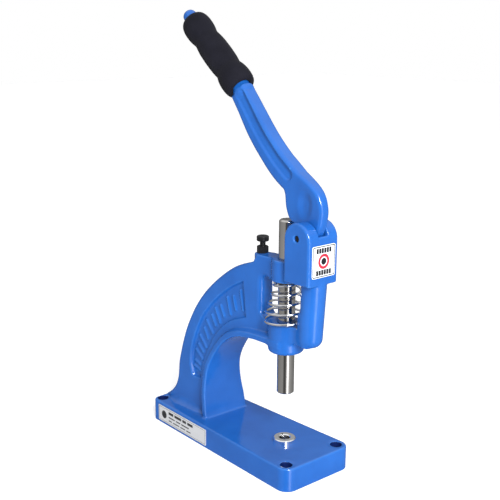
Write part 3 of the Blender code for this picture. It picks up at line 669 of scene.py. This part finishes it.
def make_collar():
    low, high = COLLAR_LOW[2], COLLAR_HIGH[2]
    inner, outer = RAM_RADIUS + 0.05, (COLLAR_HIGH[0] - COLLAR_LOW[0]) / 2
    profile = [(inner, low), (outer, low), (outer, high), (inner, high)]
    obj = turned("collar", profile, (0.0, RAM_Y), edge=0.35, closed=True)
    finish_piece(obj, bright_steel("collar_look", 0.25, 0.6), "collar_steel", "ram", "spring_collar")


def lying(obj, y, z):
    """Turn a piece made upright about the origin so that it lies along X at (y, z)."""
    obj.data.transform(Matrix.Translation((0, y * MM, z * MM)) @ Matrix.Rotation(math.pi / 2, 4, "Y"))
    return obj


def make_pins():
    half = PIN_HIGH[0]
    profile = [(0.0, -half), (PIN_RADIUS, -half), (PIN_RADIUS, half), (0.0, half)]
    pin = lying(turned("pivot", profile, steps=64, edge=0.6), PIVOT_Y, PIVOT_Z)
    finish_piece(pin, dark_steel("pin_look", 0.4), "pin_oxide", "frame", "pivot_pin")
    half = CROSS_HIGH[0]
    radius = (CROSS_HIGH[2] - CROSS_LOW[2]) / 2
    profile = [(0.0, -half), (radius, -half), (radius, half), (0.0, half)]
    middle_z = (CROSS_LOW[2] + CROSS_HIGH[2]) / 2
    cross = lying(turned("cross_pin", profile, steps=32, edge=0.25), RAM_Y, middle_z)
    finish_piece(cross, dark_steel("roll_pin_look", 0.3), "roll_pin_steel", "ram", "collar_pin")


def spring_radius(turn):
    """Coil radius after so many turns: mostly an even cone, eased at both ends."""
    eased = float(smooth_step(0.55, 5.15, turn))
    even = float(np.clip((turn - 0.95) / 3.84, 0, 1))
    return SPRING_WIDE + (SPRING_NARROW - SPRING_WIDE) * (0.3 * eased + 0.7 * even)


def make_spring():
    """Conical spring with a closed turn lying flat at each end."""
    low, high = SPRING_LOW[2] + WIRE_RADIUS, SPRING_HIGH[2] - WIRE_RADIUS
    turns = SPRING_OPEN_TURNS + 2 * SPRING_CLOSED_TURNS
    total, sides = int(turns * 72), 16
    bm = bmesh.new()
    rings = []
    for i in range(total + 1):
        turn = turns * i / total
        climb = min(1.0, max(0.0, (turn - SPRING_CLOSED_TURNS) / SPRING_OPEN_TURNS))
        z = low + (high - low) * climb
        radius = spring_radius(turn)
        a = 2 * math.pi * turn + math.radians(SPRING_START_DEGREES)
        ring = []
        for k in range(sides):
            b = 2 * math.pi * k / sides
            reach = radius + WIRE_RADIUS * math.cos(b)
            rise = WIRE_RADIUS * math.sin(b)
            spot = Vector((reach * math.cos(a), RAM_Y + reach * math.sin(a), z + rise))
            ring.append(bm.verts.new(spot * MM))
        rings.append(ring)
    for a, b in zip(rings, rings[1:]):
        for k in range(sides):
            n = (k + 1) % sides
            bm.faces.new((a[k], a[n], b[n], b[k]))
    bm.faces.new(rings[0][::-1])
    bm.faces.new(rings[-1])
    bmesh.ops.recalc_face_normals(bm, faces=bm.faces)
    obj = from_bmesh("spring", bm)
    finish_piece(obj, bright_steel("spring_look", 0.08, 0.86), "spring_wire", "frame", "return_spring")
    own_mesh(obj)


def make_socket():
    """Flanged bush with a small nick in the rim of its bore."""
    low, high = SOCKET_LOW[2], SOCKET_HIGH[2]
    outer = (SOCKET_HIGH[0] - SOCKET_LOW[0]) / 2
    bore, stem = 5.5, 8.0
    step = BASE_TOP + 0.02
    profile = [
        (bore, low), (stem, low), (stem, step), (outer, step), (outer, high - 0.8), (outer - 0.8, high),
        (bore + 0.9, high), (bore, high - 0.9),
    ]
    obj = turned("socket_ring", profile, (0.0, RAM_Y), edge=0.0, closed=True)
    bm = bmesh.new()
    bmesh.ops.create_cube(bm, size=1.0)
    cutter = from_bmesh("nick", bm)
    a = math.radians(66.0)
    reach = 6.6
    spot = Vector((reach * math.cos(a), RAM_Y + reach * math.sin(a), high + 0.6)) * MM
    size = Matrix.Diagonal((3.6 * MM, 1.8 * MM, 5.6 * MM, 1.0))
    cutter.data.transform(Matrix.Translation(spot) @ Matrix.Rotation(a, 4, "Z") @ size)
    combine(obj, cutter, "DIFFERENCE")
    obj.data.shade_smooth()
    obj.data.set_sharp_from_angle(angle=math.radians(32.0))
    soften(obj, 0.2)
    finish_piece(obj, bright_steel("chrome_look", 0.12, 0.95), "chrome_plate", "frame", "die_socket")


def make_stop():
    """Screw with fine thread rings and a flat round head."""
    top, low = STOP_HIGH[2], STOP_LOW[2]
    head = (STOP_HIGH[0] - STOP_LOW[0]) / 2
    crest, root, pitch = 3.0, 2.62, 0.8
    profile = [(0.0, low), (2.2, low), (crest, low + pitch)]
    z = low + pitch
    while z < top - 6.4:
        profile += [(crest, z + 0.2), (root, z + 0.5), (crest, z + pitch)]
        z += pitch
    profile += [(2.9, top - 5.3), (head - 0.5, top - 5.3), (head, top - 4.8)]
    profile += [(head, top - 0.8), (head - 0.8, top)]
    profile += [(2.6, top), (2.2, top - 0.5), (0.0, top - 0.5)]
    obj = turned("stop_bolt", profile, (0.0, STOP_Y), edge=0.12)
    finish_piece(obj, dark_steel("oxide_look", 0.3), "black_oxide", "stop", "stop_screw")


def make_nut():
    low, high = NUT_LOW[2], NUT_HIGH[2]
    across = 10.4
    corner = across / math.sqrt(3.0)
    bm = bmesh.new()
    bottom = []
    top = []
    for k in range(6):
        a = math.radians(60.0 * k + 12.0)
        x, y = corner * math.cos(a), STOP_Y + corner * math.sin(a)
        bottom.append(bm.verts.new((x * MM, y * MM, low * MM)))
        top.append(bm.verts.new((x * MM, y * MM, high * MM)))
    bm.faces.new(bottom[::-1])
    bm.faces.new(top)
    for k in range(6):
        n = (k + 1) % 6
        bm.faces.new((bottom[k], bottom[n], top[n], top[k]))
    obj = from_bmesh("nut", bm)
    chamfer = 0.58
    blank = turned("blank", [
        (3.3, low), (3.15, low + 0.4), (3.15, high - 0.4), (3.3, high), (across / 2 - 0.1, high),
        (corner + 0.1, high - chamfer), (corner + 0.1, low + chamfer), (across / 2 - 0.1, low),
    ], (0.0, STOP_Y), edge=0.0, closed=True)
    combine(obj, blank, "INTERSECT")
    obj.data.shade_smooth()
    obj.data.set_sharp_from_angle(angle=math.radians(24.0))
    soften(obj, 0.14)
    finish_piece(obj, dark_steel("nut_look", 0.34), "nut_oxide", "nut", "lock_nut")


def make_grip():
    """Foam sleeve with a bulge for each end of the hand."""
    outer = flowing((
        (13.0, 0.3), (15.2, 2.0), (16.4, 6.5), (16.6, 13.5), (15.8, 20.0), (14.4, 25.0), (14.0, 27.5),
        (14.4, 30.0), (15.0, 36.0), (15.3, 48.0), (15.0, 60.0), (14.1, 68.0), (13.5, 72.5), (13.9, 76.0),
        (14.9, 81.0), (15.4, 88.0), (15.0, 95.0), (13.3, 100.0), (10.4, GRIP_LENGTH + 0.1),
    ), 4)
    inner = TANG_RADIUS + 0.1
    end = TIP_RADIUS + 0.1
    profile = [(inner, GRIP_LENGTH - 14.0), (inner, 1.8), (inner + 1.0, 0.5)]
    profile += [tuple(row) for row in outer]
    profile += [(end + 0.6, GRIP_LENGTH + 0.1), (end, GRIP_LENGTH - 0.8), (end, GRIP_LENGTH - 6.0)]
    obj = turned("grip_sleeve", profile, edge=0.0, closed=True)
    lift = Vector((0.0, GRIP_START[0], GRIP_START[1])) * MM
    tilt = Vector((0.0, 0.0, 1.0)).rotation_difference(Vector((0.0, *GRIP_AXIS))).to_matrix().to_4x4()
    obj.data.transform(Matrix.Translation(lift) @ tilt)
    finish_piece(obj, foam(), "foam", "lever", "foam_grip")


# ------------------------------------------------------------ plates


def flat_shape(bm, outline, place, thickness, slot=0):
    """Add a thin solid: outline holds (u, v), place maps (u, v, depth) to the frame."""
    back = [bm.verts.new(place(u, v, 0.0)) for u, v in outline]
    face = [bm.verts.new(place(u, v, thickness)) for u, v in outline]
    made = [bm.faces.new(back[::-1]), bm.faces.new(face)]
    count = len(outline)
    for k in range(count):
        n = (k + 1) % count
        made.append(bm.faces.new((back[k], back[n], face[n], face[k])))
    for item in made:
        item.material_index = slot


def rounded_rectangle(u, v, half_u, half_v, radius, steps=6):
    points = []
    for sign_u, sign_v, start in ((1, 1, 0), (-1, 1, 90), (-1, -1, 180), (1, -1, 270)):
        for k in range(steps + 1):
            a = math.radians(start + 90.0 * k / steps)
            points.append((u + sign_u * (half_u - radius) + radius * math.cos(a),
                           v + sign_v * (half_v - radius) + radius * math.sin(a)))
    return points


def ring_shape(bm, outer, inner, place, thickness, slot):
    """Add a thin frame between two outlines of the same count."""
    loops = []
    for outline, depth in ((outer, 0.0), (outer, thickness), (inner, thickness), (inner, 0.0)):
        loops.append([bm.verts.new(place(u, v, depth)) for u, v in outline])
    count = len(outer)
    for a in range(4):
        b = (a + 1) % 4
        for k in range(count):
            n = (k + 1) % count
            made = bm.faces.new((loops[a][k], loops[a][n], loops[b][n], loops[b][k]))
            made.material_index = slot


def make_badge():
    """White film badge with a thin border and a plain device of a ring and bars."""
    centre_z = (BADGE_LOW[2] + BADGE_HIGH[2]) / 2
    half_u = BADGE_HIGH[0]
    half_v = (BADGE_HIGH[2] - BADGE_LOW[2]) / 2
    face_y = BADGE_LOW[1]
    back_y = BADGE_HIGH[1]

    def place(u, v, depth):
        return Vector((u, back_y - depth, centre_z + v)) * MM

    film = back_y - face_y
    bm = bmesh.new()
    flat_shape(bm, rounded_rectangle(0, 0, half_u, half_v, 2.0), place, film - 0.04, 0)
    outer = rounded_rectangle(0, 0, half_u - 0.7, half_v - 0.7, 1.5)
    inner = rounded_rectangle(0, 0, half_u - 1.6, half_v - 1.6, 1.1)
    ring_shape(bm, outer, inner, place, film, 1)
    for v in (10.6, -10.6):
        for k in range(6):
            u = 3.4 * (k - 2.5)
            flat_shape(bm, rounded_rectangle(u, v, 1.42, 2.5, 0.3, 2), place, film, 1)
    angles = [2 * math.pi * k / 40 for k in range(40)]
    big = [(7.4 * math.cos(a), 7.4 * math.sin(a)) for a in angles]
    small = [(4.6 * math.cos(a), 4.6 * math.sin(a)) for a in angles]
    ring_shape(bm, big, small, place, film, 2)
    flat_shape(bm, [(3.4 * math.cos(a), 3.4 * math.sin(a)) for a in angles], place, film, 1)
    bmesh.ops.recalc_face_normals(bm, faces=bm.faces)
    obj = from_bmesh("badge", bm)
    finish_piece(obj, film_white(), "badge_film", "frame", "head_badge")
    obj.data.materials.append(print_ink("ink_dark", (0.006, 0.007, 0.010)))
    obj.data.materials.append(print_ink("ink_red", (0.36, 0.012, 0.030)))


def make_plate():
    """Satin foil plate with a plain dot and rows of short dashes."""
    middle_z = (PLATE_LOW[2] + PLATE_HIGH[2]) / 2
    half_v = (PLATE_HIGH[2] - PLATE_LOW[2]) / 2
    middle_y = (PLATE_LOW[1] + PLATE_HIGH[1]) / 2
    half_u = (PLATE_HIGH[1] - PLATE_LOW[1]) / 2

    def place(u, v, depth):
        y = middle_y + u
        return Vector((-base_half(y) - 0.03 - depth, y, middle_z + v)) * MM

    bm = bmesh.new()
    flat_shape(bm, rounded_rectangle(0, 0, half_u, half_v, 0.8), place, 0.48, 0)
    ring_shape(bm, rounded_rectangle(0, 0, half_u - 1.2, half_v - 1.2, 0.6),
               rounded_rectangle(0, 0, half_u - 1.5, half_v - 1.5, 0.5), place, 0.52, 1)
    angles = [2 * math.pi * k / 32 for k in range(32)]
    dot_u = half_u - 11.0
    flat_shape(bm, [(dot_u + 4.6 * math.cos(a), 4.6 * math.sin(a)) for a in angles], place, 0.52, 1)
    rows = (
        (4.4, 3.0, (9.0, 13.0, 7.0, 10.0)),
        (-0.6, 1.4, (12.0, 8.0, 14.0)),
        (-4.6, 1.2, (6.0, 12.0, 9.0, 8.0)),
    )
    for v, tall, lengths in rows:
        u = dot_u - 9.0
        for length in lengths:
            flat_shape(bm, rounded_rectangle(u - length / 2, v, length / 2, tall / 2, 0.3, 3), place, 0.52, 1)
            u -= length + 2.4
    bmesh.ops.recalc_face_normals(bm, faces=bm.faces)
    obj = from_bmesh("side_plate", bm)
    finish_piece(obj, foil(), "plate_foil", "frame", "data_plate")
    obj.data.materials.append(print_ink("plate_ink", (0.012, 0.013, 0.016)))


# ------------------------------------------------------------ materials


def node_maker(tree):
    def node(kind, **values):
        made = tree.nodes.new(kind)
        for key, value in values.items():
            if key in made.inputs:
                made.inputs[key].default_value = value
            else:
                setattr(made, key, value)
        return made

    return node


def shader_graph(name):
    """New node material: (material, principled shader, node maker, linker)."""
    mat = bpy.data.materials.new(name)
    mat.use_nodes = True
    tree = mat.node_tree
    return mat, tree.nodes["Principled BSDF"], node_maker(tree), tree.links.new


def texture_place(node, link, scale=(1.0, 1.0, 1.0)):
    """Object coordinates, stretched."""
    coords = node("ShaderNodeTexCoord")
    mapping = node("ShaderNodeMapping", Scale=scale)
    link(coords.outputs["Object"], mapping.inputs["Vector"])
    return mapping.outputs["Vector"]


def noise(node, link, place, scale, detail=2.0, rough=0.5):
    made = node("ShaderNodeTexNoise", Scale=scale, Detail=detail, Roughness=rough)
    link(place, made.inputs["Vector"])
    return made.outputs["Fac"]


def to_range(node, link, value, low, high, from_low=0.3, from_high=0.7):
    made = node("ShaderNodeMapRange")
    made.inputs["From Min"].default_value = from_low
    made.inputs["From Max"].default_value = from_high
    made.inputs["To Min"].default_value = low
    made.inputs["To Max"].default_value = high
    link(value, made.inputs["Value"])
    return made.outputs["Result"]


def blend_colour(node, link, share, first, second):
    made = node("ShaderNodeMix", data_type="RGBA")
    made.inputs[6].default_value = (*first, 1.0)
    made.inputs[7].default_value = (*second, 1.0)
    link(share, made.inputs[0])
    return made.outputs[2]


def mottled(node, link, pattern, first, second):
    """Colour that drifts between two as a noise pattern does."""
    return blend_colour(node, link, to_range(node, link, pattern, 0.0, 1.0), first, second)


def add_bump(node, link, shader, height, strength, distance, below=None):
    made = node("ShaderNodeBump", Strength=strength, Distance=distance)
    link(height, made.inputs["Height"])
    if below is not None:
        link(below.outputs["Normal"], made.inputs["Normal"])
    link(made.outputs["Normal"], shader.inputs["Normal"])
    return made


def enamel():
    """Glossy blue enamel over a cast surface: soft waves, fine orange peel, and a lighter blue on sharp edges
    that is a painted highlight.
    """
    known = bpy.data.materials.get("enamel")
    if known:
        return known
    mat, shader, node, link = shader_graph("enamel")
    place = texture_place(node, link)
    patches = noise(node, link, place, 24.0, 3.0)
    deep, bright = (0.008, 0.084, 0.345), (0.012, 0.108, 0.42)
    colour = mottled(node, link, patches, deep, bright)
    # Painted highlight: sharp edges, found by pointiness, are mixed towards a lighter blue.
    geometry = node("ShaderNodeNewGeometry")
    thin = to_range(node, link, geometry.outputs["Pointiness"], 0.0, 0.5, 0.515, 0.60)
    painted_edge_highlight = node("ShaderNodeMix", data_type="RGBA")
    painted_edge_highlight.inputs[7].default_value = (0.055, 0.24, 0.64, 1.0)
    link(thin, painted_edge_highlight.inputs[0])
    link(colour, painted_edge_highlight.inputs[6])
    link(painted_edge_highlight.outputs[2], shader.inputs["Base Color"])
    link(to_range(node, link, noise(node, link, place, 60.0, 4.0), 0.09, 0.16), shader.inputs["Roughness"])
    shader.inputs["Specular IOR Level"].default_value = 0.6
    waves = add_bump(node, link, shader, noise(node, link, place, 95.0, 2.0), 0.25, 0.0006)
    add_bump(node, link, shader, noise(node, link, place, 620.0, 2.0), 0.12, 0.0002, waves)
    return mat


def hole_painted_shade():
    """Bolt holes: painted shade, a mottled near-black navy inside them."""
    mat, shader, node, link = shader_graph("hole_painted_shade_look")
    patches = noise(node, link, texture_place(node, link), 180.0, 3.0)
    deep, bright = (0.001, 0.008, 0.07), (0.002, 0.014, 0.11)
    link(mottled(node, link, patches, deep, bright), shader.inputs["Base Color"])
    shader.inputs["Roughness"].default_value = 0.6
    shader.inputs["Specular IOR Level"].default_value = 0.2
    return mat


def ground_steel():
    """Ground bar: fine rings round the bar, faint warm stain."""
    mat, shader, node, link = shader_graph("ground_look")
    rings = noise(node, link, texture_place(node, link, (30.0, 30.0, 5200.0)), 1.0, 3.0, 0.7)
    stain = noise(node, link, texture_place(node, link, (40.0, 40.0, 18.0)), 1.0, 3.0)
    colour = mottled(node, link, stain, (0.50, 0.485, 0.46), (0.62, 0.605, 0.585))
    link(colour, shader.inputs["Base Color"])
    shader.inputs["Metallic"].default_value = 1.0
    link(to_range(node, link, rings, 0.10, 0.18), shader.inputs["Roughness"])
    add_bump(node, link, shader, rings, 0.05, 0.00006)
    return mat


def bright_steel(name, roughness, value):
    """Plated steel: even, with faint handling marks."""
    mat, shader, node, link = shader_graph(name)
    place = texture_place(node, link)
    marks = noise(node, link, place, 420.0, 4.0, 0.6)
    low, high = (value * 0.93,) * 3, (value, value, value * 1.01)
    colour = mottled(node, link, marks, low, high)
    link(colour, shader.inputs["Base Color"])
    shader.inputs["Metallic"].default_value = 1.0
    link(to_range(node, link, marks, roughness * 0.8, roughness * 1.3), shader.inputs["Roughness"])
    add_bump(node, link, shader, marks, 0.04, 0.00005)
    return mat


def dark_steel(name, roughness):
    """Black oxide: near black, with a fine grain."""
    mat, shader, node, link = shader_graph(name)
    place = texture_place(node, link)
    grain = noise(node, link, place, 900.0, 3.0)
    colour = mottled(node, link, grain, (0.004, 0.004, 0.005), (0.010, 0.010, 0.012))
    link(colour, shader.inputs["Base Color"])
    shader.inputs["Specular IOR Level"].default_value = 0.35
    link(to_range(node, link, grain, roughness * 0.85, roughness * 1.3), shader.inputs["Roughness"])
    add_bump(node, link, shader, grain, 0.1, 0.00008)
    return mat


def foam():
    """Closed-cell foam: tiny pores, soft dark navy skin."""
    mat, shader, node, link = shader_graph("foam_look")
    place = texture_place(node, link)
    cells = node("ShaderNodeTexVoronoi", Scale=1100.0)
    link(place, cells.inputs["Vector"])
    cloud = noise(node, link, place, 45.0, 3.0)
    colour = mottled(node, link, cloud, (0.005, 0.005, 0.009), (0.009, 0.009, 0.015))
    link(colour, shader.inputs["Base Color"])
    shader.inputs["Roughness"].default_value = 0.82
    shader.inputs["Specular IOR Level"].default_value = 0.12
    shader.inputs["Sheen Weight"].default_value = 0.02
    shader.inputs["Sheen Roughness"].default_value = 0.5
    pores = add_bump(node, link, shader, cells.outputs["Distance"], 0.35, 0.0003)
    add_bump(node, link, shader, noise(node, link, place, 160.0, 3.0), 0.3, 0.0005, pores)
    return mat


def film_white():
    mat, shader, node, link = shader_graph("film_look")
    place = texture_place(node, link)
    cloud = noise(node, link, place, 90.0, 3.0)
    colour = mottled(node, link, cloud, (0.70, 0.74, 0.77), (0.77, 0.80, 0.83))
    link(colour, shader.inputs["Base Color"])
    link(to_range(node, link, cloud, 0.24, 0.36), shader.inputs["Roughness"])
    add_bump(node, link, shader, noise(node, link, place, 500.0), 0.05, 0.0001)
    return mat


def print_ink(name, colour):
    mat, shader, node, link = shader_graph(name)
    place = texture_place(node, link)
    cloud = noise(node, link, place, 700.0, 3.0)
    lighter = tuple(c * 1.35 for c in colour)
    link(mottled(node, link, cloud, colour, lighter), shader.inputs["Base Color"])
    shader.inputs["Roughness"].default_value = 0.42
    return mat


def foil():
    """Brushed aluminium foil, brushed along the plate."""
    mat, shader, node, link = shader_graph("foil_look")
    lines = noise(node, link, texture_place(node, link, (1.0, 25.0, 2600.0)), 1.0, 3.0, 0.6)
    colour = mottled(node, link, lines, (0.66, 0.67, 0.69), (0.78, 0.79, 0.81))
    link(colour, shader.inputs["Base Color"])
    shader.inputs["Metallic"].default_value = 0.4
    link(to_range(node, link, lines, 0.30, 0.44), shader.inputs["Roughness"])
    add_bump(node, link, shader, lines, 0.08, 0.00008)
    return mat


def floor_white():
    mat, shader, node, link = shader_graph("floor_look")
    place = texture_place(node, link)
    colour = blend_colour(node, link, noise(node, link, place, 3.0), (0.90, 0.90, 0.905), (0.92, 0.92, 0.925))
    link(colour, shader.inputs["Base Color"])
    shader.inputs["Roughness"].default_value = 0.7
    shader.inputs["Emission Color"].default_value = (1.0, 1.0, 1.0, 1.0)
    shader.inputs["Emission Strength"].default_value = 0.30
    return mat


def finish_piece(obj, mat, slot, body, *nodes):
    """Give a piece its material and its body, and hide the CAD nodes it stands in for."""
    obj.data.materials.append(mat)
    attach(obj, body)
    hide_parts(*nodes)


# ------------------------------------------------------------ stage

# brightness of the studio walls by azimuth in degrees, of the ceiling and of the ground
WALLS = (
    (-180, 0.42), (-168, 0.40), (-154, 0.08), (-136, 0.10), (-119, 0.6), (-109, 3.6), (-101, 3.6),
    (-90, 0.75), (-60, 0.44), (-25, 0.30), (30, 0.20), (100, 0.26), (145, 0.38), (179, 0.42),
)
CEILING_LEVEL = 0.95
GROUND_LEVEL = 0.3

# camera: place in metres, then tilt, roll and heading
CAMERA_PLACE = (-0.6018, -0.7009, 0.4401)
CAMERA_DEGREES = (76.273, -0.34, -40.928)


def make_floor():
    bm = bmesh.new()
    bmesh.ops.create_grid(bm, x_segments=2, y_segments=2, size=6.0)
    obj = from_bmesh("floor", bm)
    obj.data.materials.append(floor_white())
    obj.visible_glossy = False


def area_light(name, place, target, size, power):
    data = bpy.data.lights.new(name, "AREA")
    data.shape = "RECTANGLE"
    data.size, data.size_y = size
    data.energy = power
    obj = bpy.data.objects.new(name, data)
    obj.location = place
    obj.rotation_euler = (Vector(target) - Vector(place)).to_track_quat("-Z", "Y").to_euler()
    bpy.context.scene.collection.objects.link(obj)


def make_light():
    """White for the camera; walls that are brighter and darker by turns for all else."""
    world = bpy.data.worlds.new("studio")
    world.use_nodes = True
    bpy.context.scene.world = world
    tree = world.node_tree
    node, link = node_maker(tree), tree.links.new
    direction = node("ShaderNodeSeparateXYZ")
    link(node("ShaderNodeTexCoord").outputs["Generated"], direction.inputs[0])
    turn = node("ShaderNodeMath", operation="ARCTAN2")
    link(direction.outputs["Y"], turn.inputs[0])
    link(direction.outputs["X"], turn.inputs[1])
    around = to_range(node, link, turn.outputs[0], 0.0, 1.0, -math.pi, math.pi)
    walls = node("ShaderNodeValToRGB")
    walls.color_ramp.interpolation = "EASE"
    link(around, walls.inputs["Fac"])
    stops = [(azimuth / 360.0 + 0.5, level) for azimuth, level in WALLS]
    while len(walls.color_ramp.elements) < len(stops):
        walls.color_ramp.elements.new(0.5)
    for element, (position, level) in zip(walls.color_ramp.elements, stops):
        element.position = position
        element.color = (level, level, level * 1.01, 1.0)
    up = to_range(node, link, direction.outputs["Z"], 0.0, 1.0, 0.35, 0.75)
    down = to_range(node, link, direction.outputs["Z"], 1.0, 0.0, -0.75, -0.35)
    upper = blend_colour(node, link, up, (0.0,) * 3, (CEILING_LEVEL,) * 3)
    link(walls.outputs["Color"], upper.node.inputs[6])
    whole = blend_colour(node, link, down, (0.0,) * 3, (GROUND_LEVEL,) * 3)
    link(upper, whole.node.inputs[6])
    room = node("ShaderNodeBackground")
    link(whole, room.inputs["Color"])
    white = node("ShaderNodeBackground", Color=(1.0, 1.0, 1.0, 1.0))
    seen = node("ShaderNodeMixShader")
    link(node("ShaderNodeLightPath").outputs["Is Camera Ray"], seen.inputs[0])
    link(room.outputs[0], seen.inputs[1])
    link(white.outputs[0], seen.inputs[2])
    link(seen.outputs[0], tree.nodes["World Output"].inputs["Surface"])
    middle = (0.0, -0.03, 0.2)
    area_light("key", (-0.52, -1.04, 0.82), middle, (0.35, 0.5), 21.0)
    bpy.context.scene.view_settings.view_transform = "Standard"


def make_camera():
    data = bpy.data.cameras.new("camera")
    data.sensor_width = 36.0
    data.lens = 65.992
    data.shift_y = 0.0018
    obj = bpy.data.objects.new("camera", data)
    obj.location = CAMERA_PLACE
    obj.rotation_euler = [math.radians(angle) for angle in CAMERA_DEGREES]
    bpy.context.scene.collection.objects.link(obj)
    bpy.context.scene.camera = obj


make_camera()
make_light()
make_floor()
make_casting()
make_lever()
make_ram()
make_spring()
make_collar()
make_pins()
make_socket()
make_stop()
make_nut()
make_grip()
make_badge()
make_plate()
